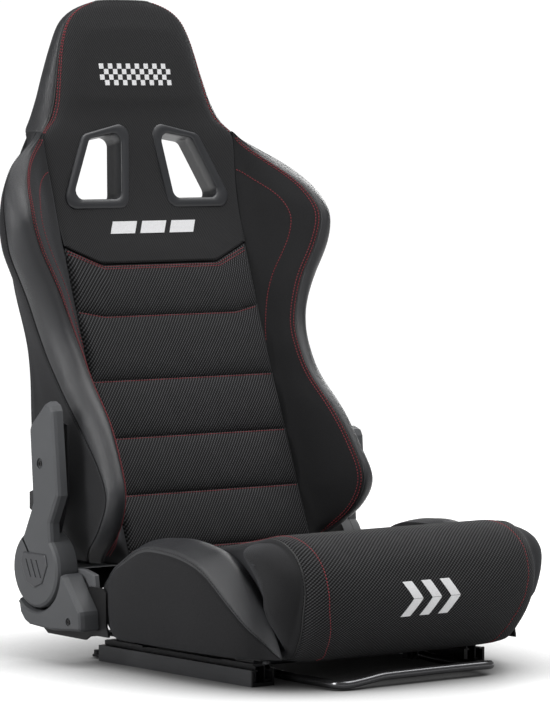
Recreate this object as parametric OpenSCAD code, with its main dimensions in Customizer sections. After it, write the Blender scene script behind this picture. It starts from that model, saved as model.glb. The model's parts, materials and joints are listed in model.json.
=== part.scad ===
// Reclining racing seat on slider rails. Millimetres. Origin: centre of the rail bolts at floor level.
// +Z is up, the seat faces -Y, and the sitter's left is +X.

/* [Rails] */
// Distance between the two rail centres
rail_pitch = 365; // [300:1:420]
// Length of each rail
rail_length = 345; // [300:1:450]
// Width of the lower rail
rail_width = 36.5; // [30:0.5:45]
// Height of the lower rail
rail_height = 22; // [16:1:30]
// Wall of the lower rail
rail_wall = 2; // [1.5:0.5:3]
// Distance between the two bolt holes of one rail
bolt_spacing = 300; // [240:1:330]
// Radius of a rail bolt hole
bolt_hole_r = 4.25; // [3:0.25:6]

/* [Base] */
// Top of the risers, where the seat frame starts
riser_top = 36; // [30:1:60]
// Y of the front risers
front_riser_y = -167; // [-180:1:-120]
// Y of the rear risers
rear_riser_y = 108; // [90:1:130]
// Top of the seat frame, where the cushion lies
pan_top = 42; // [38:1:60]

/* [Slide handle] */
// Radius of the handle bar
bar_r = 6; // [4:0.25:8]
// Y of the handle's pivot
handle_pivot_y = -100; // [-130:1:-60]
// Height of the handle's pivot
handle_pivot_z = 12; // [10:1:20]
// Y of the front of the bar
bar_front_y = -274; // [-340:1:-250]
// X of the handle's arms
bar_arm_x = 134; // [110:1:150]

/* [Recliner] */
// Y of the recliner pivot
pivot_y = 225; // [200:1:250]
// Height of the recliner pivot
pivot_z = 127; // [110:1:150]
// Radius of the cross rod
rod_r = 5; // [4:0.25:8]
// Outer face of the hinge covers
cover_x = 271; // [262:1:280]
// Radius of the round end of the upper cover
cover_r = 54; // [48:1:58]
// Inner face of the lower recliner plates
plate_x = 236; // [234:0.5:238]
// Thickness of the recliner plates
plate_t = 3.5; // [2.5:0.5:3.5]

/* [Cushion] */
// Half width of the cushion's middle
cushion_half = 199.7; // [180:0.1:199.7]
// X where the thigh bolsters start
thigh_x = 200; // [200:0.5:210]

/* [Backrest] */
// Half width of the insert and chest panels
insert_half = 159.4; // [140:0.1:159.4]
// X where the side bolsters start
bolster_x = 160; // [160:0.5:170]
// Foam thickness of the middle panels
pad_t = 28; // [20:1:28]
// Thickness of the rear cover
cover_t = 12; // [6:1:12]
// Lowest edge of the backrest foam
back_bottom = 130; // [128:1:170]
// Height of the seam between the insert and the chest panel
chest_z = 550; // [500:1:600]
// Height where the head part starts
head_z = 700; // [690:1:720]
// Top of the backrest
back_top = 909; // [880:1:940]
// Radius of the frame tubes
tube_r = 8.5; // [6:0.5:8.5]

/* [Harness slots] */
// Thickness of the bezel flange
flange_t = 4; // [3:0.5:5]
// How far the bezel stands in front of the slot's plane
flange_front = 6.9; // [6.3:0.1:9]
// Wall of the slot's tunnel
tunnel_wall = 2.5; // [1.5:0.5:4]
// Length of the slot's tunnel behind the slot's plane
tunnel_depth = 33; // [30:1:36]
// Lean of the slots, in degrees
slot_lean = 11.3; // [8:0.1:15]

/* [Hidden] */
// Which node to draw

eps = 0.01;
rail_x = rail_pitch / 2;
rail_front = -rail_length / 2;
rail_rear = rail_length / 2;
lip_gap = 18;
arm_x = plate_x + plate_t + 0.5;
base_cover_in = plate_x + plate_t + 0.3;
back_cover_in = arm_x + plate_t + 0.3;
gap = 0.6;
head_levels = [710, 721, 735, 750, 770, 800, 830, 856, 872, 886, 895, 901, 905];
frame_y = 361;
frame_z = 600;
funnel_in = 1.5;
funnel_out = 24;
funnel_rear = 63;
disc_r = 52;
blade_t = 17;
screw_y = 212;
screw_z_left = 250;
screw_z_right = 273;
base_screw = [146, 61];

// Backrest shape by height: front line, rear line, outer half width, seam ridge x, nose y, side seam y
front_line = [[120, 148], [140, 155], [224, 187], [301, 216], [379, 246], [467, 278], [540, 303], [600, 323],
  [660, 338], [720, 349], [807, 364], [860, 374], [886, 380], [900, 385], [909, 391]];
rear_line = [[88, 263], [128, 277], [150, 286], [235, 316], [321, 336], [377, 346], [466, 363], [540, 377],
  [610, 385], [660, 390], [700, 398], [740, 408], [801, 418], [856, 421], [886, 418], [900, 412], [909, 405]];
outer_line = [[128, 182], [150, 205], [190, 225], [230, 232], [280, 228], [330, 225], [382, 221],
  [420, 222], [450, 227], [487, 238], [515, 251], [560, 273], [594, 280], [620, 278], [650, 265],
  [680, 235], [700, 202], [721, 173], [760, 149], [800, 135], [856, 116], [886, 100], [900, 79], [909, 48]];
rear_half = [[88, 168], [128, 178], [150, 190], [190, 205], [230, 212], [280, 210], [330, 205], [382, 200],
  [420, 199], [450, 202], [487, 208], [515, 211], [569, 213], [610, 209], [650, 200], [680, 189],
  [700, 178], [721, 163], [760, 139], [800, 126], [856, 107], [886, 92], [900, 70], [905, 60]];
ridge_line = [[128, 168], [150, 185], [190, 202], [235, 208], [283, 204], [325, 198], [378, 191],
  [420, 191], [455, 196], [515, 216], [560, 240], [600, 253], [620, 251], [650, 238], [680, 210],
  [700, 184]];
nose_line = [[128, 206], [142, 186], [158, 156], [175, 132], [195, 112], [235, 97],
  [283, 118], [330, 150], [378, 195], [420, 222], [455, 238], [515, 248], [560, 248], [600, 250],
  [620, 258], [650, 287], [680, 324], [700, 344]];
seam_line = [[128, 222], [142, 203], [158, 178], [179, 146], [222, 112], [255, 122],
  [325, 185], [372, 232], [420, 268], [471, 283], [546, 282], [600, 280], [650, 304], [700, 350]];

// Cushion outline at its middle: y, z, and how far each point moves back and down at the sides
cushion_line = [[-236, 36, 0.4, 0.2], [-260, 46, 0.7, 0.1], [-286, 78, 0.9, 0], [-300, 110, 1, 0],
  [-303, 140, 1, 0], [-293, 171, 1, -0.1], [-262, 193, 0.7, -0.1], [-215, 199, 0.3, 0],
  [-150, 189, 0, -0.2], [-80, 172, 0, 0.1], [0, 156, 0, 0.4], [80, 147, 0, 0.4], [112, 138, 0, 0.2],
  [134, 113, 0, 0], [140, 82, 0, 0], [138, 58, 0, 0], [130, 42, 0, 0]];
cushion_side = [[0, 0], [120, 2], [165, 6], [185, 13], [199.7, 26]];
cushion_under = [[-188, 42], [-204, 37]];

// Front corner of the cushion, outside the thigh seam: y, z
corner_line = [[-230, 52], [-242, 62], [-256, 84], [-268, 112], [-274, 140], [-269, 164], [-250, 184],
  [-222, 194], [-190, 192], [-170, 187], [-163, 181], [-168, 173], [-180, 163], [-197, 145],
  [-216, 118], [-230, 90], [-238, 66]];

// Thigh bolster shape by y: inner seam height, crest height, outer seam height, outer x, underside
thigh_inner = [[-236, 45], [-228, 62], [-210, 97], [-185, 132], [-145, 164], [-105, 177],
  [-52, 182], [7, 179], [36, 168], [60, 148], [84, 136], [102, 124], [114, 112], [123, 101], [127, 95]];
thigh_crest = [[-236, 48], [-228, 70], [-210, 106], [-185, 140], [-145, 171], [-110, 182],
  [-75, 188], [-38, 187], [-2, 183], [34, 172], [60, 152], [84, 140], [102, 127], [114, 115], [123, 103],
  [127, 96]];
thigh_outer = [[-236, 44], [-228, 50], [-205, 76], [-172, 110], [-128, 147], [-83, 163],
  [-21, 169], [12, 165], [50, 148], [80, 134], [102, 120], [116, 108], [127, 94]];
thigh_width = [[-236, 203], [-228, 208], [-216, 216], [-200, 231], [-172, 242], [-130, 249],
  [-90, 251], [0, 251], [60, 247], [90, 240], [101, 235.2], [112, 234.5], [120, 232],
  [125, 228], [127, 222]];
thigh_base = [[-236, 42], [76, 42], [88, 47], [98, 58], [108, 66], [120, 80], [127, 90]];

// Hinge cover outlines in y, z
arm_outline = [[196, 358], [239, 320], [232, 217], [254, 166], [225, 127], [190, 166], [170, 231],
  [181, 348]];
arm_pocket = [[197.5, 350.5], [233.5, 317.5], [227, 218], [247, 168], [225, 140], [197, 169],
  [175.5, 232], [186, 344.5]];
arm_outline_short = [[190, 300], [235, 279], [232, 217], [254, 166], [225, 127], [190, 166], [170, 231],
  [174, 291]];
arm_pocket_short = [[191, 293], [229.5, 276], [227, 218], [247, 168], [225, 140], [197, 169],
  [175.5, 232], [179, 287]];
base_outline = [[190, 125], [156, 122], [119, 75], [118, 50], [190, 45], [240, 48], [262, 64], [268, 88],
  [225, 127]];
base_pocket = [[190, 117], [160, 116], [124.5, 73], [124, 55.5], [190, 51], [238, 53], [257, 67], [262, 84],
  [225, 127]];
badge_outline = [[-26, 20], [26, 20], [30, 6], [16, -20], [0, -27], [-16, -20], [-30, 6]];

// Slot opening corners in x and height along the lean, from the inner top corner, clockwise
slot_outer = [[18, 117], [102, 98], [152, -9], [36, -9]];
slot_inner = [[34, 101], [90, 91.5], [131, 5], [47, 5]];
slot_y = 330;
slot_z = 624;

// Curve through a table at one value of its first column
function step_at(t, v, i = 0) = (i >= len(t) - 2 || v <= t[i + 1][0]) ? i : step_at(t, v, i + 1);
function mix3(a, ma, b, mb, u) =
  a * (2 * pow(u, 3) - 3 * u * u + 1) + ma * (pow(u, 3) - 2 * u * u + u)
  + b * (3 * u * u - 2 * pow(u, 3)) + mb * (pow(u, 3) - u * u);
function curve(t, v) =
  let (i = step_at(t, v), p0 = t[max(i - 1, 0)], p1 = t[i], p2 = t[i + 1])
  let (p3 = t[min(i + 2, len(t) - 1)], h = p2[0] - p1[0], u = max(0, min(1, (v - p1[0]) / h)))
  mix3(p1[1], (p2[1] - p0[1]) / (p2[0] - p0[0]) * h, p2[1], (p3[1] - p1[1]) / (p3[0] - p1[0]) * h, u);

// Smooth open line through points, n steps to each span
function smooth(p, n) = [
  for (i = [0 : len(p) - 2]) for (k = [0 : n - 1])
    mix3(p[i], (p[i + 1] - p[max(i - 1, 0)]) / 2, p[i + 1], (p[min(i + 2, len(p) - 1)] - p[i]) / 2, k / n),
  p[len(p) - 1]
];

// Polygon with its corners rounded to r
function unit(v) = v / norm(v);
function rounded(p, r, n = 6) = [
  for (i = [0 : len(p) - 1])
    let (q = p[i], a = unit(p[(i + len(p) - 1) % len(p)] - q), b = unit(p[(i + 1) % len(p)] - q))
    let (half = acos(a * b) / 2, c = q + unit(a + b) * r / sin(half), d = r / tan(half))
    for (k = [0 : n])
      let (s = unit(q + a * d - c), e = unit(q + b * d - c), m = unit(s * (1 - k / n) + e * (k / n)))
      c + m * r
];

function mirrored(p) = [for (i = [len(p) - 1 : -1 : 0]) [-p[i][0], p[i][1]]];

// Solid through a list of rings of equal length
module loft(rings) {
  n = len(rings[0]);
  m = len(rings);
  polyhedron(
    points = [for (r = rings) for (p = r) p],
    faces = concat(
      [[for (k = [0 : n - 1]) k]],
      [for (j = [0 : m - 2]) for (k = [0 : n - 1]) [j * n + k, (j + 1) * n + k, j * n + (k + 1) % n]],
      [for (j = [0 : m - 2]) for (k = [0 : n - 1])
        [(j + 1) * n + k, (j + 1) * n + (k + 1) % n, j * n + (k + 1) % n]],
      [[for (k = [n - 1 : -1 : 0]) (m - 1) * n + k]]
    ),
    convexity = 8
  );
}

// Round bar between two points
module rod(a, b, r) {
  d = b - a;
  translate(a)
    rotate([0, acos(d[2] / norm(d)), atan2(d[1], d[0])])
      cylinder(r = r, h = norm(d), $fn = 48);
}

// Flat shape given in y and z, from x0 to x1
module slab(points, x0, x1) {
  translate([x0, 0, 0])
    rotate([90, 0, 90])
      linear_extrude(height = x1 - x0)
        polygon(points);
}

module disc_x(y, z, r, x0, x1) {
  translate([x0, y, z])
    rotate([0, 90, 0])
      cylinder(r = r, h = x1 - x0, $fn = 96);
}

module both_sides() {
  children();
  mirror([1, 0, 0]) children();
}

// ---- Rails ----
module lower_rail() {
  half = rail_width / 2;
  difference() {
    translate([rail_x, rail_rear, 0])
      rotate([90, 0, 0])
        linear_extrude(height = rail_length - 3)
          polygon([
            [-half, 0], [half, 0], [half, rail_height], [lip_gap / 2, rail_height],
            [lip_gap / 2, rail_height - rail_wall], [half - rail_wall, rail_height - rail_wall],
            [half - rail_wall, rail_wall], [-half + rail_wall, rail_wall],
            [-half + rail_wall, rail_height - rail_wall], [-lip_gap / 2, rail_height - rail_wall],
            [-lip_gap / 2, rail_height], [-half, rail_height]
          ]);
    for (y = [-bolt_spacing / 2, bolt_spacing / 2])
      translate([rail_x, y, -1])
        cylinder(r = bolt_hole_r, h = rail_wall + 2, $fn = 64);
  }
}

module lower_rail_left() {
  color("#202124") lower_rail();
}

module lower_rail_right() {
  color("#202124") mirror([1, 0, 0]) lower_rail();
}

module rail_end_caps() {
  color("#141416")
    both_sides()
      difference() {
        translate([rail_x - rail_width / 2, rail_front, 0])
          cube([rail_width, 3, rail_height + 0.5]);
        translate([rail_x - 14.6, rail_front - 1, 5])
          cube([29.2, 5, 15.3]);
        translate([rail_x - 9.1, rail_front - 1, 5])
          cube([18.2, 5, rail_height]);
      }
}

module rail_rear_tabs() {
  color("#141416")
    both_sides() {
      translate([rail_x - 7, rail_rear - 20, rail_wall])
        cube([14, 48, 3]);
      translate([rail_x, rail_rear + 28, rail_wall])
        cylinder(r = 7, h = 3, $fn = 48);
      translate([rail_x, rail_rear + 28, rail_wall + 3])
        cylinder(r = 5, h = 6, $fn = 48);
    }
}

module upper_rail() {
  translate([rail_x, rail_rear - 1, 0])
    rotate([90, 0, 0])
      linear_extrude(height = rail_length - 8)
        polygon([
          [-14, 7.6], [-14, 5.6], [-6.5, 5.6], [-6.5, 26], [6.5, 26], [6.5, 5.6], [14, 5.6],
          [14, 7.6], [8.5, 7.6], [8.5, 28], [-8.5, 28], [-8.5, 7.6]
        ]);
}

module upper_rail_left() {
  color("#2b2c2f") upper_rail();
}

module upper_rail_right() {
  color("#2b2c2f") mirror([1, 0, 0]) upper_rail();
}

module rail_glides() {
  color("#d8d6cf")
    both_sides()
      for (y = [-60, 60], s = [-1, 1])
        translate([rail_x + s * 11.5 - 2.5, y - 15, 7.6])
          cube([5, 30, 12.1]);
}

// ---- Base ----
module riser(y) {
  translate([rail_x - 15, y - 42, 28])
    cube([30, 84, 2.5]);
  translate([rail_x - 11, y - 20, 30.5])
    cube([22, 40, riser_top - 30.5]);
}

module front_risers() {
  color("#1a1b1d")
    both_sides()
      intersection() {
        riser(front_riser_y + 21);
        translate([0, rail_front + 3, 0]) cube([300, 200, 100]);
      }
}

module rear_risers() {
  color("#1a1b1d") both_sides() riser(rear_riser_y + 9);
}

module riser_bolts() {
  color("#8a8c90")
    both_sides()
      for (y = [front_riser_y - 11, front_riser_y + 53, rear_riser_y - 23, rear_riser_y + 41])
        translate([rail_x, y, 30.5])
          cylinder(r = 5, h = 3.5, $fn = 6);
}

module seat_side_bars() {
  color("#1a1b1d")
    both_sides() {
      translate([rail_x - 15, -185, riser_top])
        cube([30, 350, 3]);
      translate([rail_x - 15, -185, riser_top + 3])
        cube([3, 325, 3]);
    }
}

module base_cross_tubes() {
  color("#1a1b1d")
    for (y = [-150, 160])
      rod([-rail_x + 15, y, 30], [rail_x - 15, y, 30], 6);
}

module cushion_pan() {
  color("#242528")
    difference() {
      translate([-rail_x + 15, -180, riser_top + 3.6])
        cube([2 * rail_x - 30, 300, 2.2]);
      for (y = [-110, -30, 50], x = [-75, 75])
        translate([x, y, riser_top])
          cylinder(r = 24, h = 12, $fn = 64);
    }
}

module handle_brackets() {
  inner = bar_arm_x - 11;
  color("#1a1b1d")
    both_sides() {
      difference() {
        slab([[handle_pivot_y - 9, riser_top + 3.6], [handle_pivot_y - 9, 5], [handle_pivot_y + 9, 5],
          [handle_pivot_y + 9, riser_top + 3.6]], inner, inner + 3);
        disc_x(handle_pivot_y, handle_pivot_z, 3, inner - 1, inner + 4);
      }
      disc_x(handle_pivot_y, handle_pivot_z, 3, inner, bar_arm_x + 9);
      disc_x(handle_pivot_y, handle_pivot_z, 5, inner - 3, inner);
    }
}

// ---- Recliner, fixed side ----
module lower_plate() {
  difference() {
    union() {
      slab([[97, 42], [97, 47], [102, 56], [102, 102], [108, 108], [140, 108], [150, 100], [180, 100],
        [258, 100], [258, 66], [252, 44], [238, 35], [150, 34], [136, 42]], plate_x, plate_x + plate_t);
      disc_x(pivot_y, pivot_z, disc_r, plate_x, plate_x + plate_t);
      translate([rail_x - 15, 142, riser_top + 3])
        cube([plate_x - rail_x + 15 + eps, 23, 3.5]);
    }
    disc_x(pivot_y, pivot_z, rod_r + 0.05, plate_x - 1, plate_x + plate_t + 1);
  }
}

module recliner_lower_plate_left() {
  color("#2f3033") lower_plate();
}

module recliner_lower_plate_right() {
  color("#2f3033") mirror([1, 0, 0]) lower_plate();
}

module base_cover() {
  difference() {
    slab(rounded(base_outline, 3), base_cover_in, cover_x);
    disc_x(pivot_y, pivot_z, cover_r + 3, base_cover_in - 1, cover_x + 1);
    difference() {
      slab(base_pocket, base_cover_in - 1, cover_x - 5);
      disc_x(pivot_y, pivot_z, cover_r + 7, base_cover_in - 2, cover_x);
    }
    disc_x(base_screw[0], base_screw[1], 7, cover_x - 3, cover_x + 1);
  }
  disc_x(base_screw[0], base_screw[1], 4.5, cover_x - 5.5, cover_x - 1.5);
}

module recliner_base_cover_left() {
  color("#4a4b4e") base_cover();
}

module recliner_base_cover_right() {
  color("#4a4b4e") mirror([1, 0, 0]) base_cover();
}

module base_cover_screws() {
  color("#77797d")
    both_sides()
      difference() {
        disc_x(base_screw[0], base_screw[1], 3.2, cover_x - 1.5, cover_x);
        disc_x(base_screw[0], base_screw[1], 1.5, cover_x - 1, cover_x + 4);
      }
}

// ---- Cushion ----
function cushion_ring(x) =
  let (s = curve(cushion_side, abs(x)))
  let (line = smooth([for (q = cushion_line) [q[0] + s * q[2], q[1] + s * q[3]]], 3))
  [for (p = concat(line, cushion_under)) [x, p[0], p[1]]];

function corner_ring(i) =
  let (x = [192, 202, 213, 224, 232][i], k = [0.98, 0.98, 0.86, 0.66, 0.35][i], c = [-238, 166])
  [for (p = smooth(corner_line, 3)) [x, c[0] + (p[0] - c[0]) * k, c[1] + (p[1] - c[1]) * k]];

module seat_cushion() {
  color("#232326") {
    loft([for (x = [199.7, 193, 185, 172, 150, 100, 50, 0, -50, -100, -150, -172, -185, -193, -199.7])
      cushion_ring(x * cushion_half / 199.7)]);
    both_sides()
      loft([for (i = [4 : -1 : 0]) corner_ring(i)]);
  }
}

function thigh_ring(y) =
  let (w = curve(thigh_width, y) - thigh_x, zi = curve(thigh_inner, y), zc = curve(thigh_crest, y))
  let (zo = min(curve(thigh_outer, y), zc), zb = max(pan_top, curve(thigh_base, y)))
  [for (p = concat(
    smooth([[0, zi], [w * 0.22, (zi * 0.3 + zc * 0.7)], [w * 0.5, zc], [w * 0.82, zc * 0.55 + zo * 0.45],
      [w, zo], [w, zb + (zo - zb) * 0.5], [w * 0.93, zb + (zo - zb) * 0.08], [w * 0.85, zb]], 3),
    [[0, zb]]))
    [thigh_x + p[0], y, p[1]]];

module thigh_bolster() {
  loft([for (y = [-236, -232, -226, -218, -207, -192, -170, -145, -110, -75, -40, -5, 25, 48, 64, 76, 88,
    97, 103, 109, 115, 120, 124, 127]) thigh_ring(y)]);
}

module thigh_bolster_left() {
  color("#2d2d30") thigh_bolster();
}

module thigh_bolster_right() {
  color("#2d2d30") mirror([1, 0, 0]) thigh_bolster();
}

// ---- Backrest ----
function y_front(z) = curve(front_line, z);
function y_rear(z) = curve(rear_line, z);
function x_outer(z) = curve(outer_line, z);
function y_inner_rear(z) = y_rear(z) - cover_t - gap;
function x_cover(z) = curve(rear_half, z);

function panel_ring(z) =
  let (y = y_front(z), w = insert_half)
  [for (p = [[-w, y + pad_t], [-w, y + 1], [-w * 0.97, y], [-w * 0.5, y - 1.5], [0, y - 2],
    [w * 0.5, y - 1.5], [w * 0.97, y], [w, y + 1], [w, y + pad_t]]) [p[0], p[1], z]];

module back_insert() {
  color("#1c1c1f")
    loft([for (z = [back_bottom : (chest_z - gap - back_bottom) / 18 : chest_z - gap + eps]) panel_ring(z)]);
}

module slot_space(points, y0, y1) {
  both_sides()
    translate([0, slot_y, slot_z])
      rotate([90 - slot_lean, 0, 0])
        translate([0, 0, -y1])
          linear_extrude(height = y1 - y0)
            polygon(points);
}

// Space that widens from the end of the slot's tunnel to the rear surface, grown outwards by d
module funnel_space(d, e = 0) {
  near_z = -tunnel_depth - 0.3;
  slope = (funnel_out - funnel_in) / (near_z + funnel_rear);
  near = slot_grown(funnel_in + d - e * slope);
  far = slot_grown(funnel_out + d + e * slope);
  both_sides()
    translate([0, slot_y, slot_z])
      rotate([90 - slot_lean, 0, 0])
        loft([
          [for (p = near) [p[0], p[1], near_z + e]],
          [for (p = far) [p[0], p[1], -funnel_rear - e]]
        ]);
}

// Slot shape grown outwards by d
function slot_grown(d) = rounded([
  slot_inner[0] + [-d * 0.95, d * 1.25], slot_inner[1] + [d * 0.75, d * 1.05],
  slot_inner[2] + [d * 1.75, -d], slot_inner[3] + [-d * 1.15, -d]], 12 + d);

module head_tube(r) {
  rod([0, frame_y + 1, frame_z], [0, 381, 735], r);
}

function wire_y(z) = 262 + (z - 215) * (frame_y - 262) / (frame_z - 215);

module chest_panel() {
  color("#202023")
    difference() {
      loft([for (z = [chest_z : (head_z - gap - chest_z) / 8 : head_z - gap + eps]) panel_ring(z)]);
      slot_space(slot_grown(tunnel_wall + 0.4), -60, 100);
      head_tube(tube_r + 0.4);
    }
}

function head_ring(z) =
  let (f = y_front(z), r = y_inner_rear(z), w = x_outer(z), t = r - f)
  let (side = smooth([[0, f - 2], [w * 0.5, f - 1.5], [w * 0.82, f + t * 0.05], [w * 0.97, f + t * 0.25],
    [w, f + t * 0.55], [w * 0.985, f + t * 0.85], [w * 0.95, r]], 3))
  [for (p = concat([for (i = [len(side) - 1 : -1 : 1]) [-side[i][0], side[i][1]]], side)) [p[0], p[1], z]];

module head_pad() {
  color("#202023")
    difference() {
      loft([for (z = concat([head_z], head_levels, [907, back_top])) head_ring(z)]);
      slot_space(slot_grown(tunnel_wall + 0.4), -60, 100);
      funnel_space(2.8, 0.2);
      head_tube(tube_r + 0.4);
    }
}

function bolster_ring(z) =
  let (yf = y_front(z), yr = y_inner_rear(z), xo = x_outer(z), xr = curve(ridge_line, z), x0 = bolster_x)
  let (yn = curve(nose_line, z), ys = curve(seam_line, z))
  [for (p = concat(smooth([
    [x0, yf + 1], [x0 + 0.3 * (xr - x0), yf - 0.16 * (yf - yn)],
    [x0 + 0.72 * (xr - x0), yf - 0.66 * (yf - yn)],
    [xr, yn + 2], [xr + 0.5 * (xo - xr), yn], [xo - 2, yn + 0.45 * (ys - yn)], [xo, ys],
    [min(xo - 7, 229), ys + 25], [x_cover(z), yr]], 3), [[x0, yr]]))
    [p[0], p[1], z]];

module back_bolster() {
  difference() {
    loft([for (z = [back_bottom, 138, 148, 160, 175, 190, 210, 230, 255, 280, 305, 330, 355, 380, 405, 430,
      455, 485, 515, 545, 570, 590, 605, 622, 640, 658, 675, 688, head_z - gap]) bolster_ring(z)]);
    rod([0, 262, 215], [300, 262, 215], tube_r + 0.4);
    disc_x(pivot_y, pivot_z, rod_r + 2, 150, 240);
  }
}

module back_bolster_left() {
  color("#2d2d30") back_bolster();
}

module back_bolster_right() {
  color("#2d2d30") mirror([1, 0, 0]) back_bolster();
}

function cover_ring(z) =
  let (y0 = y_rear(z) - cover_t, w = x_cover(z), d = z > 895 ? 0.7 : 1)
  let (half = smooth([[0, y0 + (cover_t + 3) * d], [w * 0.6, y0 + (cover_t + 1) * d],
    [w * 0.88, y0 + (cover_t - 3) * d], [w, y0 + 2]], 3))
  [for (p = concat([[w, y0], [-w, y0]], [for (i = [len(half) - 1 : -1 : 1]) [-half[i][0], half[i][1]]], half))
    [p[0], p[1], z]];

module back_cover() {
  color("#1c1c1f")
    difference() {
      loft([for (z = concat([for (i = [len(head_levels) - 1 : -1 : 0]) head_levels[i]],
        [700, 680, 650, 610, 569, 515, 466, 420, 377, 321, 280, 235, 200, 175, 150, 128, 108, 88]))
        cover_ring(z)]);
      funnel_space(2.8, 0.2);
    }
}

module back_frame() {
  color("#2a2b2e")
    difference() {
      union() {
        rod([-arm_x, 262, 215], [arm_x, 262, 215], tube_r - 1.5);
        rod([-150, frame_y, frame_z], [150, frame_y, frame_z], tube_r - 1.5);
        both_sides()
          rod([150, wire_y(207), 207], [150, wire_y(frame_z + 8), frame_z + 8], tube_r - 0.5);
        head_tube(tube_r - 3);
      }
      for (z = [300, 350, 400, 450])
        rod([-200, wire_y(z), z], [200, wire_y(z), z], 2.05);
    }
}

module lumbar_wires() {
  color("#77797d")
    for (z = [300, 350, 400, 450])
      rod([-155, wire_y(z), z], [155, wire_y(z), z], 2);
}

module arm_plate(top) {
  difference() {
    union() {
      slab([[200, top], [222, top - 18], [226, 240], [240, 160], [210, 150], [206, 172], [184, 232],
        [186, top - 4]], arm_x, arm_x + plate_t);
      disc_x(pivot_y, pivot_z, disc_r, arm_x, arm_x + plate_t);
      slab([[215, 200], [240, 190], [276, 205], [276, 228], [262, 233], [215, 250]], arm_x, arm_x + plate_t);
    }
    disc_x(pivot_y, pivot_z, rod_r + 0.05, arm_x - 1, arm_x + plate_t + 1);
  }
}

module recliner_arm_left() {
  color("#2f3033") arm_plate(284);
}

module recliner_arm_right() {
  color("#2f3033") mirror([1, 0, 0]) arm_plate(330);
}

module upper_cover(outline, pocket, screw_z) {
  difference() {
    union() {
      slab(rounded(outline, 3), cover_x - blade_t, cover_x);
      disc_x(pivot_y, pivot_z, cover_r, back_cover_in, cover_x);
    }
    slab(pocket, back_cover_in - 1, cover_x - 5);
    disc_x(pivot_y, pivot_z, cover_r - 5, back_cover_in - 1, cover_x - 5);
    disc_x(screw_y, screw_z, 9, cover_x - 3, cover_x + 1);
  }
  disc_x(screw_y, screw_z, 6, cover_x - 5.5, cover_x - 1.5);
}

module recliner_back_cover_left() {
  color("#4a4b4e") upper_cover(arm_outline_short, arm_pocket_short, screw_z_left);
}

module recliner_back_cover_right() {
  color("#4a4b4e") mirror([1, 0, 0]) upper_cover(arm_outline, arm_pocket, screw_z_right);
}

module hinge_badges() {
  color("#3c3d40")
    both_sides()
      difference() {
        slab(rounded([for (p = badge_outline) [p[0] + pivot_y, p[1] + pivot_z + 2]], 4),
          cover_x, cover_x + 2);
        for (s = [-12, 0, 12])
          slab([[pivot_y + s - 6, pivot_z - 10], [pivot_y + s - 2, pivot_z - 10],
            [pivot_y + s + 7, pivot_z + 14], [pivot_y + s + 3, pivot_z + 14]], cover_x + 1, cover_x + 3);
      }
}

module cover_screw(z) {
  difference() {
    disc_x(screw_y, z, 4, cover_x - 1.5, cover_x);
    disc_x(screw_y, z, 2, cover_x - 1, cover_x + 2);
  }
}

module back_cover_screws() {
  color("#77797d") {
    cover_screw(screw_z_left);
    mirror([1, 0, 0]) cover_screw(screw_z_right);
  }
}

// ---- Harness slots ----
module bezel() {
  translate([0, slot_y, slot_z])
    rotate([90 - slot_lean, 0, 0]) {
      difference() {
        union() {
          translate([0, 0, flange_front - flange_t])
            linear_extrude(height = flange_t)
              polygon(rounded(slot_outer, 16));
          translate([0, 0, -tunnel_depth])
            linear_extrude(height = tunnel_depth + 4)
              polygon(slot_grown(tunnel_wall));
        }
        translate([0, 0, -70])
          linear_extrude(height = 90)
            polygon(slot_grown(0));
      }
    }
}

module harness_bezel_left() {
  color("#303134") bezel();
}

module harness_bezel_right() {
  color("#303134") mirror([1, 0, 0]) bezel();
}

module harness_rear_bezels() {
  color("#303134")
    difference() {
      union() {
        funnel_space(2);
        slot_space(slot_grown(funnel_out + 6), funnel_rear - 1.8, funnel_rear);
      }
      funnel_space(0, 1);
    }
}

// ---- Recline lever ----
module recline_rod() {
  color("#8a8c90") disc_x(pivot_y, pivot_z, rod_r, -back_cover_in - 4, back_cover_in + 4);
}

module recline_lever() {
  color("#3a3b3e")
    difference() {
      union() {
        disc_x(pivot_y, pivot_z, 13, -234.5, -229.5);
        slab([[pivot_y - 8, 117], [pivot_y, 138], [190, 124], [150, 121], [150, 108], [190, 108]],
          -234.5, -229.5);
      }
      disc_x(pivot_y, pivot_z, rod_r, -240, -220);
    }
}

module lever_grip() {
  color("#4a4b4e")
    difference() {
      slab(rounded([[131, 105], [134, 124], [158, 129], [198, 131], [198, 101], [168, 99], [138, 99]], 3),
        -235.5, -227);
      slab([[149.5, 107.5], [149.5, 121.4], [190, 124.5], [200, 128.8], [200, 110.4], [190, 107.5]],
        -234.8, -229.2);
    }
}

// ---- Slide handle ----
// Ring of a bent bar round point i of its path
function bar_ring(path, i) =
  let (t = unit(path[min(i + 1, len(path) - 1)] - path[max(i - 1, 0)]))
  let (side = unit(cross([0, 0, 1], t)))
  let (up = cross(t, side))
  [for (k = [0 : 15]) path[i] + bar_r * (side * cos(k * 22.5) + up * sin(k * 22.5))];

module slide_bar() {
  a = bar_arm_x;
  f = bar_front_y;
  bend = [[-a, handle_pivot_y - 15, handle_pivot_z], [-a, -150, 9], [-a, f + 14, 8], [-a + 4, f + 4, 8],
    [-a + 14, f, 8.5], [-95, f, 11], [-62, f, 15], [62, f, 15.5], [a - 22, f, 15], [a - 8, f + 3, 14],
    [a - 1, f + 12, 12.5], [a, f + 34, 9], [a, -150, 9], [a, handle_pivot_y - 15, handle_pivot_z]];
  color("#101012") {
    loft([for (i = [0 : len(bend) - 1]) bar_ring(bend, i)]);
    both_sides()
      difference() {
        translate([a - 6.5, handle_pivot_y - 18, handle_pivot_z - 6.5])
          cube([13, 28, 13]);
        disc_x(handle_pivot_y, handle_pivot_z, 3.05, a - 10, a + 10);
      }
  }
}

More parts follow.
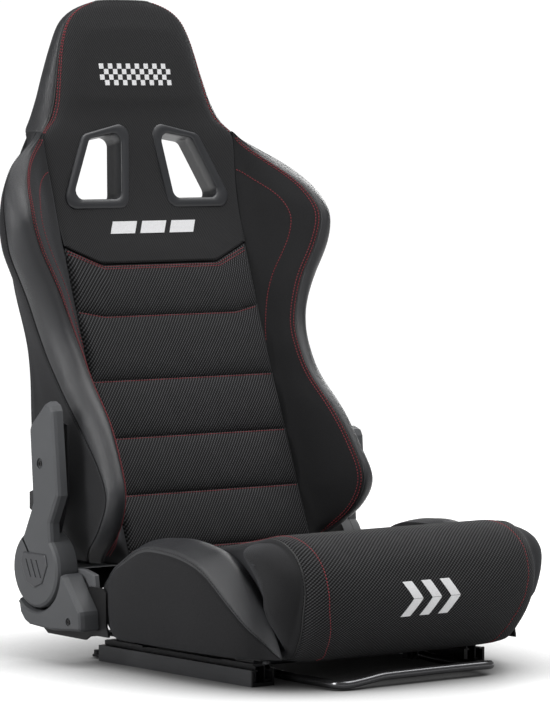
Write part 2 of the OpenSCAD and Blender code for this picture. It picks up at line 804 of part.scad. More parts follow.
module slide_latches() {
  color("#8a8c90")
    both_sides()
      translate([bar_arm_x - 5, handle_pivot_y + 10, handle_pivot_z - 3])
        cube([20, 22, 5]);
}

lower_rail_left();
lower_rail_right();
rail_end_caps();
rail_rear_tabs();
upper_rail_left();
upper_rail_right();
rail_glides();
front_risers();
rear_risers();
riser_bolts();
seat_side_bars();
base_cross_tubes();
cushion_pan();
handle_brackets();
recliner_lower_plate_left();
recliner_lower_plate_right();
recliner_base_cover_left();
recliner_base_cover_right();
base_cover_screws();
seat_cushion();
thigh_bolster_left();
thigh_bolster_right();
back_frame();
lumbar_wires();
recliner_arm_left();
recliner_arm_right();
recliner_back_cover_left();
recliner_back_cover_right();
hinge_badges();
back_cover_screws();
back_insert();
chest_panel();
head_pad();
back_bolster_left();
back_bolster_right();
back_cover();
harness_bezel_left();
harness_bezel_right();
harness_rear_bezels();
recline_rod();
recline_lever();
lever_grip();
slide_bar();
slide_latches();
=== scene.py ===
import json
import math
import bpy
import bmesh
import numpy as np
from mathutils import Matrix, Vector
from mathutils.bvhtree import BVHTree


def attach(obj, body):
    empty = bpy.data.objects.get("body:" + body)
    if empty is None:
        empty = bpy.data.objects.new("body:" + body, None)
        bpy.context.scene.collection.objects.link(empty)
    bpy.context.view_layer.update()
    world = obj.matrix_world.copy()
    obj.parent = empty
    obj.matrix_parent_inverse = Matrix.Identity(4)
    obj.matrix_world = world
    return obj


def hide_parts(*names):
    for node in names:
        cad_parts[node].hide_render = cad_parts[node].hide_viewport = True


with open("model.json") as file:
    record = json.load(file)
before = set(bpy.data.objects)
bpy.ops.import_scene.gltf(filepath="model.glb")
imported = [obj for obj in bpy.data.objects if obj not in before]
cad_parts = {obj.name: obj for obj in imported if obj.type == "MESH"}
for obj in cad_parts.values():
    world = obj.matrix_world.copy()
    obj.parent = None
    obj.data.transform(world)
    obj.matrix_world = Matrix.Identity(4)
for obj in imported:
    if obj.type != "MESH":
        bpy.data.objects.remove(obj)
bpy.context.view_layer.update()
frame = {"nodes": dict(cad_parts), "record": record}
NODES = frame["nodes"]
MM = 0.001
TAU = 2 * math.pi

# ---- shape tables (mm)
# The backrest's tables run by height z. FRONT and REAR give the depth y of the middle of the front
# and of the rear. OUTER, REAR_HALF, RIDGE and INNER give half widths x: the widest line, the edge of
# the rear cover, the foremost line of a side bolster and its inner wall. NOSE and SEAM give y at the
# bolster's foremost line and at its outer seam.
FRONT = [[120, 148], [140, 155], [224, 187], [301, 216], [379, 246], [467, 278], [540, 303],
         [600, 323], [660, 338], [720, 349], [807, 364], [860, 374], [886, 380], [900, 385], [909, 391]]
REAR = [[88, 263], [128, 277], [150, 286], [235, 316], [321, 336], [377, 346], [466, 363], [540, 377],
        [610, 385], [660, 390], [700, 398], [740, 408], [801, 418], [856, 421], [886, 418], [900, 412],
        [909, 405]]
OUTER = [[128, 182], [150, 205], [190, 225], [230, 232], [280, 228], [330, 225], [382, 221],
         [420, 222], [450, 227], [487, 238], [515, 251], [560, 273], [594, 280], [620, 278], [650, 265],
         [680, 235], [700, 202], [721, 173], [760, 149], [800, 135], [856, 116], [886, 100], [900, 79],
         [909, 48]]
REAR_HALF = [[88, 168], [128, 178], [150, 190], [190, 205], [230, 212], [280, 210], [330, 205], [382, 200],
             [420, 199], [450, 202], [487, 208], [515, 211], [569, 213], [610, 209], [650, 200], [680, 189],
             [700, 178], [721, 163], [760, 139], [800, 126], [856, 107], [886, 92], [900, 71], [909, 42]]
RIDGE = [[128, 168], [150, 185], [190, 202], [235, 208], [283, 204], [325, 198], [378, 191],
         [420, 191], [455, 196], [515, 216], [560, 240], [600, 253], [620, 251], [650, 239],
         [680, 212], [700, 188], [721, 166]]
NOSE = [[128, 206], [142, 186], [158, 156], [175, 132], [195, 112], [235, 97], [283, 118], [330, 150],
        [378, 195],
        [420, 222], [455, 238], [515, 248], [560, 248], [600, 250], [620, 258], [650, 284],
        [680, 320], [700, 341], [721, 350]]
SEAM = [[128, 222], [142, 203], [158, 178], [179, 146], [222, 112], [255, 122], [325, 185], [372, 232],
        [420, 268], [471, 283], [546, 282], [600, 280], [650, 302], [700, 345], [721, 362]]
INNER = [[128, 160], [560, 160], [640, 162], [690, 166], [721, 167.6]]
# the cushion's section in y, z from the front of its base over the top and down behind; the last two
# columns say how far a point follows CUSHION_SIDE in y and z, where the nose goes back and the top
# rises towards the sides
CUSHION = [[-236, 36, 0.4, 0.2], [-260, 46, 0.7, 0.1], [-286, 78, 0.9, 0], [-300, 110, 1, 0],
           [-303, 140, 1, 0], [-293, 171, 1, -0.1], [-262, 193, 0.7, -0.1], [-215, 199, 0.3, 0],
           [-150, 189, 0, -0.2], [-80, 172, 0, 0.1], [0, 156, 0, 0.4], [80, 147, 0, 0.4],
           [112, 138, 0, 0.2], [134, 113, 0, 0], [140, 82, 0, 0], [138, 58, 0, 0], [130, 42, 0, 0]]
CUSHION_SIDE = [[0, 0], [120, 2], [165, 6], [185, 13], [199.7, 26]]
# outline in y, z of the cushion's corner in front of a thigh bolster
CORNER = [[-230, 52], [-242, 62], [-256, 84], [-268, 112], [-274, 140], [-269, 164], [-250, 184],
          [-222, 194], [-190, 192], [-170, 187], [-163, 181], [-168, 173], [-180, 163], [-197, 145],
          [-216, 118], [-230, 90], [-236, 68]]
# a thigh bolster by y: heights z of its inner edge, crest, outer edge and base, and its outer side x
THIGH_IN = [[-236, 45], [-228, 62], [-210, 97], [-185, 132], [-145, 164], [-105, 177], [-52, 182],
            [7, 179], [36, 168], [60, 148], [84, 136], [102, 124], [114, 112], [123, 101], [127, 95]]
THIGH_TOP = [[-236, 48], [-228, 70], [-210, 106], [-185, 140], [-145, 171], [-110, 182],
             [-75, 188], [-38, 187], [-2, 183], [34, 172], [60, 152], [84, 140], [102, 127],
             [114, 115], [123, 103], [127, 96]]
THIGH_OUT = [[-236, 44], [-228, 50], [-205, 76], [-172, 110], [-128, 147], [-83, 163],
             [-21, 169], [12, 165], [50, 148], [80, 134], [102, 120], [116, 108], [127, 94]]
THIGH_W = [[-236, 203], [-228, 208], [-216, 216], [-200, 231], [-172, 242], [-130, 249],
           [-90, 251], [0, 251], [60, 247], [90, 240], [101, 235.2], [112, 234.5], [120, 232],
           [125, 228], [127, 222]]
THIGH_BASE = [[-236, 42], [76, 42], [88, 43.5], [98, 48], [108, 56], [120, 72], [127, 86]]


def curve(tab, t):
    """Smooth value of a table at t."""
    tab = np.asarray(tab, float)
    x, y = tab[:, 0], tab[:, 1]
    m = np.empty_like(y)
    m[1:-1] = (y[2:] - y[:-2]) / (x[2:] - x[:-2])
    m[0] = (y[1] - y[0]) / (x[1] - x[0])
    m[-1] = (y[-1] - y[-2]) / (x[-1] - x[-2])
    t = np.asarray(t, float)
    i = np.clip(np.searchsorted(x, t, side="right") - 1, 0, len(x) - 2)
    h = x[i + 1] - x[i]
    u = np.clip((t - x[i]) / h, 0, 1)
    return ((2 * u**3 - 3 * u**2 + 1) * y[i] + (u**3 - 2 * u**2 + u) * h * m[i]
            + (3 * u**2 - 2 * u**3) * y[i + 1] + (u**3 - u**2) * h * m[i + 1])


def soft_curve(tab, t, r=9.0):
    """curve() averaged over a short run, so that bends have no kinks."""
    t = np.asarray(t, float)
    w = np.array([1, 2, 3, 2, 1], float)
    lo, hi = tab[0][0], tab[-1][0]
    s = sum(k * curve(tab, np.clip(t + d * r, lo, hi)) for k, d in zip(w, [-1, -0.5, 0, 0.5, 1]))
    e = np.minimum(1, np.minimum(t - lo, hi - t) / (2 * r))
    e = np.clip(e, 0, 1)
    return e * s / w.sum() + (1 - e) * curve(tab, t)


def spline(pts, params):
    """Points on a smooth line through pts (..., n, d) at positions given in spans."""
    pts = np.asarray(pts, float)
    n = pts.shape[-2]
    params = np.asarray(params, float)
    i = np.clip(params.astype(int), 0, n - 2)
    u = (params - i)[:, None]
    p0, p1 = pts[..., np.maximum(i - 1, 0), :], pts[..., i, :]
    p2, p3 = pts[..., i + 1, :], pts[..., np.minimum(i + 2, n - 1), :]
    a, b = (p2 - p0) / 2, (p3 - p1) / 2
    return (p1 * (2 * u**3 - 3 * u**2 + 1) + a * (u**3 - 2 * u**2 + u)
            + p2 * (3 * u**2 - 2 * u**3) + b * (u**3 - u**2))


def fade(rows, n=3):
    """Evens out small steps from row to row."""
    for _ in range(n):
        rows[1:-1] = rows[1:-1] * 0.5 + (rows[:-2] + rows[2:]) * 0.25
    return rows


def stations(spans, near_seams, digits=3):
    """Places along a section of so many spans: seven to a span, and some more beside its seams."""
    even = np.round(np.linspace(0, spans, spans * 7 + 1), digits)
    return np.array(sorted(set(even) | set(near_seams)))


# ---- materials
SHEEN_TINT = (0.8, 0.82, 0.9, 1)
KNIT_PITCH = 0.0016
KNIT_TURN = 0.6


def new_material(name):
    m = bpy.data.materials.new(name)
    m.use_nodes = True
    return m, m.node_tree, m.node_tree.nodes["Principled BSDF"]


def nd(t, kind, **inputs):
    """A new shader node with some of its inputs set."""
    n = t.nodes.new(kind)
    for k, v in inputs.items():
        n.inputs[k.replace("_", " ")].default_value = v
    return n


def math_node(t, op, a, b=None):
    n = t.nodes.new("ShaderNodeMath")
    n.operation = op
    for i, v in enumerate([a, b]):
        if v is None:
            continue
        if isinstance(v, (int, float)):
            n.inputs[i].default_value = v
        else:
            t.links.new(v, n.inputs[i])
    return n.outputs[0]


def mul(t, a, b):
    return math_node(t, "MULTIPLY", a, b)


def add(t, a, b):
    return math_node(t, "ADD", a, b)


def wave(t, kind, turns):
    return math_node(t, kind, mul(t, turns, TAU))


def ramp(t, src, stops):
    """Colour ramp; a stop is (position, grey or colour)."""
    n = t.nodes.new("ShaderNodeValToRGB")
    el = n.color_ramp.elements
    while len(el) < len(stops):
        el.new(0.5)
    for e, (p, c) in zip(el, stops):
        e.position = p
        e.color = (c[0], c[1], c[2], 1) if isinstance(c, (tuple, list)) else (c, c, c, 1)
    t.links.new(src, n.inputs[0])
    return n.outputs[0]


def bump(t, bsdf, height, strength, dist):
    n = nd(t, "ShaderNodeBump", Strength=strength, Distance=dist)
    t.links.new(height, n.inputs["Height"])
    t.links.new(n.outputs[0], bsdf.inputs["Normal"])


def object_coords(t):
    return nd(t, "ShaderNodeTexCoord").outputs["Object"]


def cloth_coords(t, scale_x, scale_y, turn):
    """x and y of the UV map, which is in metres, turned and scaled."""
    uv = nd(t, "ShaderNodeUVMap")
    uv.uv_map = "UVMap"
    mp = nd(t, "ShaderNodeMapping", Rotation=(0, 0, turn), Scale=(scale_x, scale_y, 1))
    t.links.new(uv.outputs[0], mp.inputs["Vector"])
    sep = nd(t, "ShaderNodeSeparateXYZ")
    t.links.new(mp.outputs[0], sep.inputs[0])
    return sep.outputs[0], sep.outputs[1]


def noise(t, coords, scale, detail):
    n = nd(t, "ShaderNodeTexNoise", Scale=scale, Detail=detail)
    t.links.new(coords, n.inputs["Vector"])
    return n.outputs[0]


def fabric_finish(t, bsdf, height, stops, rough, spec, sheen_w, sheen_rough):
    """Colour from the height of the threads, and a matt surface with a soft sheen."""
    t.links.new(ramp(t, height, stops), bsdf.inputs["Base Color"])
    bsdf.inputs["Roughness"].default_value = rough
    bsdf.inputs["Specular IOR Level"].default_value = spec
    bsdf.inputs["Sheen Weight"].default_value = sheen_w
    bsdf.inputs["Sheen Roughness"].default_value = sheen_rough
    bsdf.inputs["Sheen Tint"].default_value = SHEEN_TINT


def mottled(t, bsdf, src, color, low, high, rough, spread_by):
    """Colour and roughness that wander with src; low and high are (position, factor on color)."""
    tones = [(p, [c * k for c in color]) for p, k in (low, high)]
    t.links.new(ramp(t, src, tones), bsdf.inputs["Base Color"])
    r = add(t, mul(t, src, spread_by), rough - spread_by / 2)
    t.links.new(r, bsdf.inputs["Roughness"])


def weave_material(name, dark, light, pitch, angle, depth, sheen_w, width, aspect):
    """Knitted fabric: a slanted grid of raised threads and dark holes."""
    m, t, b = new_material(name)
    x, y = cloth_coords(t, 1 / pitch, 1 / (pitch * aspect), math.radians(angle))
    sx = wave(t, "SINE", x)
    sy = wave(t, "COSINE", add(t, y, mul(t, x, 0.5)))
    h = math_node(t, "SUBTRACT", mul(t, sx, 0.66), mul(t, sy, 0.34))
    fleck = math_node(t, "SUBTRACT", noise(t, object_coords(t), 900.0, 3.0), 0.5)
    h = add(t, add(t, mul(t, h, 0.5), 0.5), mul(t, fleck, 0.35))
    fabric_finish(t, b, h, [(width - 0.2, dark), (width + 0.22, light)], 0.85, 0.25, sheen_w, 0.45)
    bump(t, b, h, 0.8, depth)
    return m


def cloth_material(name, color, grain, amount, sheen_w, rough=0.9, spec=0.2):
    """Fine knitted cover fabric with a faint fleck."""
    m, t, b = new_material(name)
    x, y = cloth_coords(t, 1 / KNIT_PITCH, 1 / KNIT_PITCH, KNIT_TURN)
    knit = mul(t, mul(t, wave(t, "SINE", x), wave(t, "SINE", y)), 0.18)
    h = add(t, noise(t, object_coords(t), grain, 2.0), knit)
    lo = [c * (1 - amount) for c in color]
    hi = [c * (1 + amount * 2.2) for c in color]
    fabric_finish(t, b, h, [(0.3, lo), (0.72, hi)], rough, spec, sheen_w, 0.5)
    bump(t, b, h, 0.35, 0.0006)
    return m


def leather_material(name, color, rough):
    """Pebbled leather with slow changes of tone."""
    m, t, b = new_material(name)
    coords = object_coords(t)
    cells = nd(t, "ShaderNodeTexVoronoi", Scale=620.0)
    cells.feature = "DISTANCE_TO_EDGE"
    t.links.new(coords, cells.inputs["Vector"])
    pebble = math_node(t, "MINIMUM", mul(t, cells.outputs["Distance"], 6.0), 1.0)
    h = add(t, pebble, mul(t, noise(t, coords, 1500.0, 2.0), 0.4))
    mottled(t, b, noise(t, coords, 14.0, 4.0), color, (0.3, 0.85), (0.7, 1.2), rough, 0.14)
    b.inputs["Specular IOR Level"].default_value = 0.5
    bump(t, b, h, 0.35, 0.0005)
    return m


def plastic_material(name, color, rough, grain=500.0, depth=0.0002, strength=0.3, spec=0.5):
    """Moulded plastic with a fine grain."""
    m, t, b = new_material(name)
    coords = object_coords(t)
    mottled(t, b, noise(t, coords, 9.0, 5.0), color, (0.3, 0.92), (0.75, 1.1), rough, 0.12)
    b.inputs["Specular IOR Level"].default_value = spec
    bump(t, b, noise(t, coords, grain, 3.0), strength, depth)
    return m


def metal_material(name, color, rough, metallic=1.0):
    """Coated or plated steel, drawn out along y."""
    m, t, b = new_material(name)
    mp = nd(t, "ShaderNodeMapping", Scale=(60, 4, 60))
    t.links.new(object_coords(t), mp.inputs["Vector"])
    drawn = noise(t, mp.outputs[0], 12.0, 6.0)
    mottled(t, b, drawn, color, (0.25, 0.85), (0.8, 1.12), rough, 0.18)
    b.inputs["Metallic"].default_value = metallic
    bump(t, b, drawn, 0.06, 0.0002)
    return m


# pitch, angle, depth, sheen, level where dark turns light, height to width of a cell
MESH_WEAVE = (0.0040, 33, 0.0010, 0.0, 0.62, 0.8)
TWILL_WEAVE = (0.0026, 33, 0.0003, 0.06, 0.5, 0.9)
MESH_HOLE = (0.0008, 0.0008, 0.0009)
# sheen, roughness, specular level
THREAD = (0.2, 0.7, 0.3)
MAT = {
    "mesh": weave_material("mesh_fabric", MESH_HOLE, (0.066, 0.066, 0.070), *MESH_WEAVE),
    # painted shade: a darker copy of the mesh fabric for the seat, whose low place lies in shade
    "mesh_seat_painted_shade": weave_material("seat_mesh_fabric_painted_shade", MESH_HOLE, (0.050, 0.050, 0.053), *MESH_WEAVE),
    "twill": weave_material("twill_fabric", (0.0064, 0.0064, 0.0068), (0.0290, 0.0290, 0.0302),
                            *TWILL_WEAVE),
    "cloth": cloth_material("cover_fabric", (0.0130, 0.0130, 0.0136), 1400.0, 0.25, 0.08),
    "side": cloth_material("side_fabric", (0.0125, 0.0125, 0.0132), 1100.0, 0.3, 0.05),
    "leather": leather_material("strip_leather", (0.0185, 0.0190, 0.0212), 0.39),
    "piping": leather_material("piping_leather", (0.006, 0.006, 0.0065), 0.42),
    "cover": plastic_material("hinge_plastic", (0.060, 0.062, 0.066), 0.55, 900.0, 0.0002, 0.35, 0.4),
    "grip": plastic_material("grip_plastic", (0.100, 0.102, 0.107), 0.5, 900.0, 0.0002, 0.3, 0.4),
    "badge": plastic_material("badge_plastic", (0.040, 0.041, 0.045), 0.45, 900.0, 0.0001, 0.2),
    "bezel": plastic_material("bezel_plastic", (0.022, 0.023, 0.026), 0.34, 700.0, 0.0001, 0.2, 0.6),
    "black": plastic_material("cap_plastic_black", (0.008, 0.008, 0.0085), 0.5, 700.0, 0.0001, 0.2, 0.35),
    "glide": plastic_material("glide_plastic_pale", (0.55, 0.54, 0.5), 0.5),
    "rail": metal_material("rail_coat", (0.068, 0.069, 0.073), 0.40, 0.55),
    "rail_dark": metal_material("bracket_coat", (0.018, 0.018, 0.02), 0.45, 0.4),
    "bar": metal_material("bar_coat", (0.130, 0.130, 0.135), 0.20, 0.85),
    "zinc": metal_material("zinc_plate", (0.42, 0.43, 0.44), 0.35),
    "red": cloth_material("red_thread", (0.19, 0.012, 0.018), 2500.0, 0.3, *THREAD),
    "dark_thread": cloth_material("dark_thread", (0.012, 0.012, 0.013), 2500.0, 0.3, *THREAD),
    "white": cloth_material("white_thread", (0.72, 0.72, 0.73), 1800.0, 0.08, *THREAD),
}


# ---- mesh helpers
def place(name, data):
    ob = bpy.data.objects.new(name, data)
    bpy.context.scene.collection.objects.link(ob)
    return ob


def link(name, verts, faces, mats, face_mat=None, uv=None, smooth=True):
    """A new object from points and faces, with materials by their keys in MAT."""
    me = bpy.data.meshes.new(name)
    me.from_pydata([tuple(v) for v in verts], [], [tuple(f) for f in faces])
    for k in mats:
        me.materials.append(MAT[k])
    if face_mat is not None:
        me.polygons.foreach_set("material_index", np.asarray(face_mat, np.int32))
    if uv is not None:
        layer = me.uv_layers.new(name="UVMap")
        layer.data.foreach_set("uv", np.asarray(uv, np.float32).reshape(-1))
    me.polygons.foreach_set("use_smooth", np.full(len(me.polygons), smooth))
    me.update()
    return place(name, me)


def face_out(ob):
    """Turns every face of a closed piece outwards."""
    bm = bmesh.new()
    bm.from_mesh(ob.data)
    bmesh.ops.recalc_face_normals(bm, faces=bm.faces[:])
    bm.to_mesh(ob.data)
    bm.free()


def grid_quads(idx):
    """Faces between the rows of a grid of point numbers whose columns close on themselves."""
    nxt = np.roll(idx, -1, axis=1)
    return np.stack([idx[:-1], nxt[:-1], nxt[1:], idx[1:]], -1).reshape(-1, 4)


PAD_FILL = 0.9


def settle(ob, body, slot, *nodes, fill=None):
    """Attaches a piece to the body it rides on and hides the nodes it stands for; the slot is not used."""
    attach(ob, body)
    if nodes:
        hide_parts(*nodes)


def arc(points, axis):
    """Length run along rows or columns of points."""
    d = np.linalg.norm(np.diff(points, axis=axis), axis=2)
    s = np.cumsum(d, axis=axis)
    pad = [(0, 0), (0, 0)]
    pad[axis] = (1, 0)
    return np.pad(s, pad)


# rings of a rounded end: size of the ring and share of the dome's height
DOME = ((0.93, 0.45), (0.8, 0.75), (0.6, 0.93), (0.35, 1.0))


class Ring:
    """A closed solid skinned over rings given in mm: rows x ring points, kept in metres."""

    def __init__(self, name, rings, mats, col_mat, dome=0, uv_mid=0):
        P = np.asarray(rings, float) * MM
        if dome:
            c = P[-1].mean(0)
            out = (P[-1] - P[-2]).mean(0)
            out = out / (np.linalg.norm(out) + 1e-9) * dome * MM
            extra = [c + (P[-1] - c) * k + out * h for k, h in DOME]
            P = np.concatenate([P, np.array(extra)])
        self.P = P
        nu, nv, _ = P.shape
        self.nu, self.nv = nu, nv
        idx = np.arange(nu * nv).reshape(nu, nv)
        verts = np.concatenate([P.reshape(-1, 3), P[0].mean(0)[None], P[-1].mean(0)[None]])
        a, b = nu * nv, nu * nv + 1
        cap0 = [(a, idx[0][(k + 1) % nv], idx[0][k]) for k in range(nv)]
        cap1 = [(b, idx[-1][k], idx[-1][(k + 1) % nv]) for k in range(nv)]
        faces = [tuple(q) for q in grid_quads(idx)] + cap0 + cap1
        fm = np.concatenate([np.tile(np.asarray(col_mat), nu - 1), np.full(2 * nv, col_mat[0])])
        Pc = np.concatenate([P, P[:, :1]], axis=1)
        su, sv = arc(Pc, 1), arc(Pc, 0)
        su = su - su[:, uv_mid][:, None]
        sv = np.repeat(sv[:, uv_mid][:, None], nv + 1, axis=1)
        U = np.stack([su, sv], -1)
        quv = np.stack([U[:-1, :-1], U[:-1, 1:], U[1:, 1:], U[1:, :-1]], 2).reshape(-1, 2)
        uv = np.concatenate([quv, np.zeros((6 * nv, 2))])
        self.ob = link(name, verts, faces, mats, fm, uv)
        face_out(self.ob)

    def paint(self, second, caps):
        """Gives the quads where second is true the second material, and the end caps caps."""
        polygons = self.ob.data.polygons
        index = np.full(len(polygons), caps, np.int32)
        index[: second.size] = second.reshape(-1)
        polygons.foreach_set("material_index", index)

    def wide(self, along_rows):
        """One value a row, repeated round the ring."""
        return np.repeat(np.asarray(along_rows)[:, None], self.nv, 1)

    def tall(self, round_ring):
        """One value a ring point, repeated for every row."""
        return np.repeat(np.asarray(round_ring)[None], self.nu, 0)

    def co(self):
        me = self.ob.data
        c = np.zeros(len(me.vertices) * 3, np.float64)
        me.vertices.foreach_get("co", c)
        return c.reshape(-1, 3)

    def grid(self):
        return self.co()[: self.nu * self.nv].reshape(self.nu, self.nv, 3)

    def set_co(self, c):
        self.ob.data.vertices.foreach_set("co", np.asarray(c, np.float32).reshape(-1))
        self.ob.data.update()

    def normals(self):
        me = self.ob.data
        n = np.zeros(len(me.vertices) * 3, np.float32)
        me.vertices.foreach_get("normal", n)
        return n.reshape(-1, 3)

    def push(self, amount):
        """Moves the skin along its normals; amount is rows x ring points, in metres."""
        c, n = self.co(), self.normals()
        k = self.nu * self.nv
        c[:k] += n[:k] * amount.reshape(-1, 1)
        self.set_co(c)


HOLD_LEVELS = 10
SMOOTH_PASSES = 40


def shorten(move, most):
    """Limits the length of each row of move."""
    return move * np.minimum(1, most / np.maximum(np.linalg.norm(move, axis=1, keepdims=True), 1e-9))


def puff(ring, free, pressure, frames, cap, slack, keep=0.2):
    """Fills a cover with foam: the free part of the skin is blown out by a short cloth run.

    No point moves further than cap. keep is the share of the small folds left after smoothing."""
    ob = ring.ob
    before = ring.co()
    group = ob.vertex_groups.new(name="hold")
    k = ring.nu * ring.nv
    hold = 1 - np.clip(free.reshape(-1), 0, 1)
    for level in range(1, HOLD_LEVELS + 1):
        ids = np.nonzero(np.abs(np.round(hold * HOLD_LEVELS) - level) < 0.5)[0]
        if len(ids):
            group.add([int(i) for i in ids], level / HOLD_LEVELS, "REPLACE")
    group.add([k, k + 1], 1.0, "REPLACE")
    mod = ob.modifiers.new("Fill", "CLOTH")
    s = mod.settings
    s.quality = 5
    s.mass = 0.3
    s.air_damping = 2.0
    s.tension_stiffness = s.compression_stiffness = 18
    s.shear_stiffness = 8
    s.bending_stiffness = 0.8
    s.use_pressure = True
    s.uniform_pressure_force = pressure
    s.shrink_min = -slack
    s.vertex_group_mass = "hold"
    s.pin_stiffness = 1.0
    s.effector_weights.gravity = 0.0
    mod.collision_settings.use_collision = False
    mod.collision_settings.use_self_collision = False
    mod.point_cache.frame_start = 1
    mod.point_cache.frame_end = frames
    scene = bpy.context.scene
    for f in range(1, frames + 1):
        scene.frame_set(f)
    deps = bpy.context.evaluated_depsgraph_get()
    me = ob.evaluated_get(deps).to_mesh()
    c = np.zeros(len(me.vertices) * 3)
    me.vertices.foreach_get("co", c)
    ob.evaluated_get(deps).to_mesh_clear()
    ob.modifiers.remove(mod)
    ob.vertex_groups.remove(group)
    scene.frame_set(1)
    move = shorten(c.reshape(-1, 3) - before, 2 * cap)
    fine = move[:k].reshape(ring.nu, ring.nv, 3)
    soft = fine.copy()
    for _ in range(SMOOTH_PASSES):
        soft[1:-1] = soft[1:-1] * 0.5 + (soft[:-2] + soft[2:]) * 0.25
        soft = soft * 0.5 + (np.roll(soft, 1, 1) + np.roll(soft, -1, 1)) * 0.25
    move[:k] = (soft + (fine - soft) * keep).reshape(-1, 3)
    share = np.append(np.clip(free.reshape(-1), 0, 1), [0, 0])[:, None]
    ring.set_co(before + shorten(move, cap) * share)


def band(v, at, w):
    """1 at one value, falling off on both sides."""
    return np.exp(-((v - at) / w) ** 2)


def step_up(v, start, run):
    """0 up to start, then rising to 1 over run; a negative run rises the other way."""
    return np.clip((v - start) / run, 0, 1)


def resample(path, step):
    path = np.asarray(path, float)
    d = np.r_[0, np.cumsum(np.linalg.norm(np.diff(path, axis=0), axis=1))]
    n = max(2, int(d[-1] / step) + 1)
    s = np.linspace(0, d[-1], n)
    return np.stack([np.interp(s, d, path[:, i]) for i in range(3)], 1)


def tube(name, path, r, mat, body, sides=10, step=0.004):
    """Round tube along a path, in metres."""
    p = resample(path, step)
    t = np.gradient(p, axis=0)
    t /= np.linalg.norm(t, axis=1, keepdims=True)
    up = np.array([0.31, 0.27, 0.91])
    a = np.cross(t, up)
    a /= np.linalg.norm(a, axis=1, keepdims=True)
    b = np.cross(t, a)
    ang = np.linspace(0, 2 * np.pi, sides, endpoint=False)
    across_a = np.cos(ang)[None, :, None] * a[:, None]
    across_b = np.sin(ang)[None, :, None] * b[:, None]
    rings = p[:, None] + r * (across_a + across_b)
    idx = np.arange(len(p) * sides).reshape(len(p), sides)
    faces = [tuple(q) for q in grid_quads(idx)] + [tuple(idx[0][::-1]), tuple(idx[-1])]
    ob = link(name, rings.reshape(-1, 3), faces, [mat])
    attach(ob, body)
    return ob


# one stitch, in metres: its profile is (place along it, thickness)
STITCH_PITCH = 0.0044
STITCH_LENGTH = 0.0031
STITCH_R = 0.00055
STITCH_LIFT = 0.0002
STITCH_PROFILE = [(-0.5, 0.45), (-0.34, 1.0), (0, 1.15), (0.34, 1.0), (0.5, 0.45)]
STITCH_SIDES = 6


def at_length(s, d, path):
    """The point at length s of a path whose points lie at lengths d."""
    return np.array([np.interp(s, d, path[:, i]) for i in range(3)])


def stitches(name, lines, body, mat="red"):
    """Rows of short threads. lines is a list of (path, normals) in metres."""
    verts, faces = [], []
    base = 0
    k = STITCH_SIDES
    spans = len(STITCH_PROFILE) - 1
    for path, nrm in lines:
        d = np.r_[0, np.cumsum(np.linalg.norm(np.diff(path, axis=0), axis=1))]
        for s in np.arange(STITCH_PITCH / 2, d[-1] - STITCH_PITCH / 2, STITCH_PITCH):
            a = at_length(s - STITCH_LENGTH / 2, d, path)
            b = at_length(s + STITCH_LENGTH / 2, d, path)
            n = at_length(s, d, nrm)
            n /= np.linalg.norm(n) + 1e-9
            t = b - a
            ln = np.linalg.norm(t)
            if ln < 1e-5:
                continue
            t /= ln
            w = np.cross(t, n)
            w /= np.linalg.norm(w) + 1e-9
            n = np.cross(w, t)
            c = (a + b) / 2 + n * STITCH_LIFT
            for x, thick in STITCH_PROFILE:
                sink = n * (-STITCH_R * 0.9 * (abs(x) * 2) ** 3)
                for j in range(k):
                    g = j * math.pi / 3
                    spoke = (w * math.cos(g) + n * math.sin(g)) * STITCH_R * thick
                    verts.append(c + t * x * ln + sink + spoke)
            for q in range(base, base + spans * k, k):
                faces += [(q + j, q + (j + 1) % k, q + k + (j + 1) % k, q + k + j) for j in range(k)]
            faces.append(tuple(base + j for j in range(k - 1, -1, -1)))
            faces.append(tuple(base + spans * k + j for j in range(k)))
            base += (spans + 1) * k
    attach(link(name, verts, faces, [mat]), body)


def line_on(ring, rows, cols, offset):
    """Path on a finished skin at fractional rows and columns, with its normals.

    One of rows and cols may be a single value."""
    G = ring.grid()
    N = ring.normals()[: ring.nu * ring.nv].reshape(ring.nu, ring.nv, 3)
    rows, cols = np.broadcast_arrays(np.clip(rows, 0, ring.nu - 1.001), np.mod(cols, ring.nv))
    i, j = rows.astype(int), cols.astype(int)
    j2 = (j + 1) % ring.nv
    a, b = (rows - i)[:, None], (cols - j)[:, None]

    def mix(A):
        return (A[i, j] * (1 - a) * (1 - b) + A[i + 1, j] * a * (1 - b)
                + A[i, j2] * (1 - a) * b + A[i + 1, j2] * a * b)
    return mix(G) + mix(N) * offset, mix(N)


def mirror_x(lines):
    return [(p * np.array([-1, 1, 1]), n * np.array([-1, 1, 1])) for p, n in lines]


def mirrored(ob, name):
    """A mirrored copy of a finished piece."""
    me = ob.data.copy()
    me.name = name
    c = np.zeros(len(me.vertices) * 3, np.float32)
    me.vertices.foreach_get("co", c)
    c = c.reshape(-1, 3)
    c[:, 0] *= -1
    me.vertices.foreach_set("co", c.reshape(-1))
    me.flip_normals()
    me.update()
    return place(name, me)


def bvh_of(ob):
    """Search tree over a finished piece's faces."""
    me = ob.data
    return BVHTree.FromPolygons([v.co.copy() for v in me.vertices], [tuple(p.vertices) for p in me.polygons])


def apply_all(ob):
    """Makes the result of an object's modifiers its mesh."""
    deps = bpy.context.evaluated_depsgraph_get()
    me = bpy.data.meshes.new_from_object(ob.evaluated_get(deps))
    ob.modifiers.clear()
    old = ob.data
    ob.data = me
    me.name = ob.name
    bpy.data.meshes.remove(old)


def cut(ob, cutter):
    """Takes the cutter's solid away from an object, and removes the cutter."""
    m = ob.modifiers.new("cut", "BOOLEAN")
    m.operation = "DIFFERENCE"
    m.solver = "EXACT"
    m.object = cutter
    apply_all(ob)
    me = cutter.data
    bpy.data.objects.remove(cutter)
    bpy.data.meshes.remove(me)


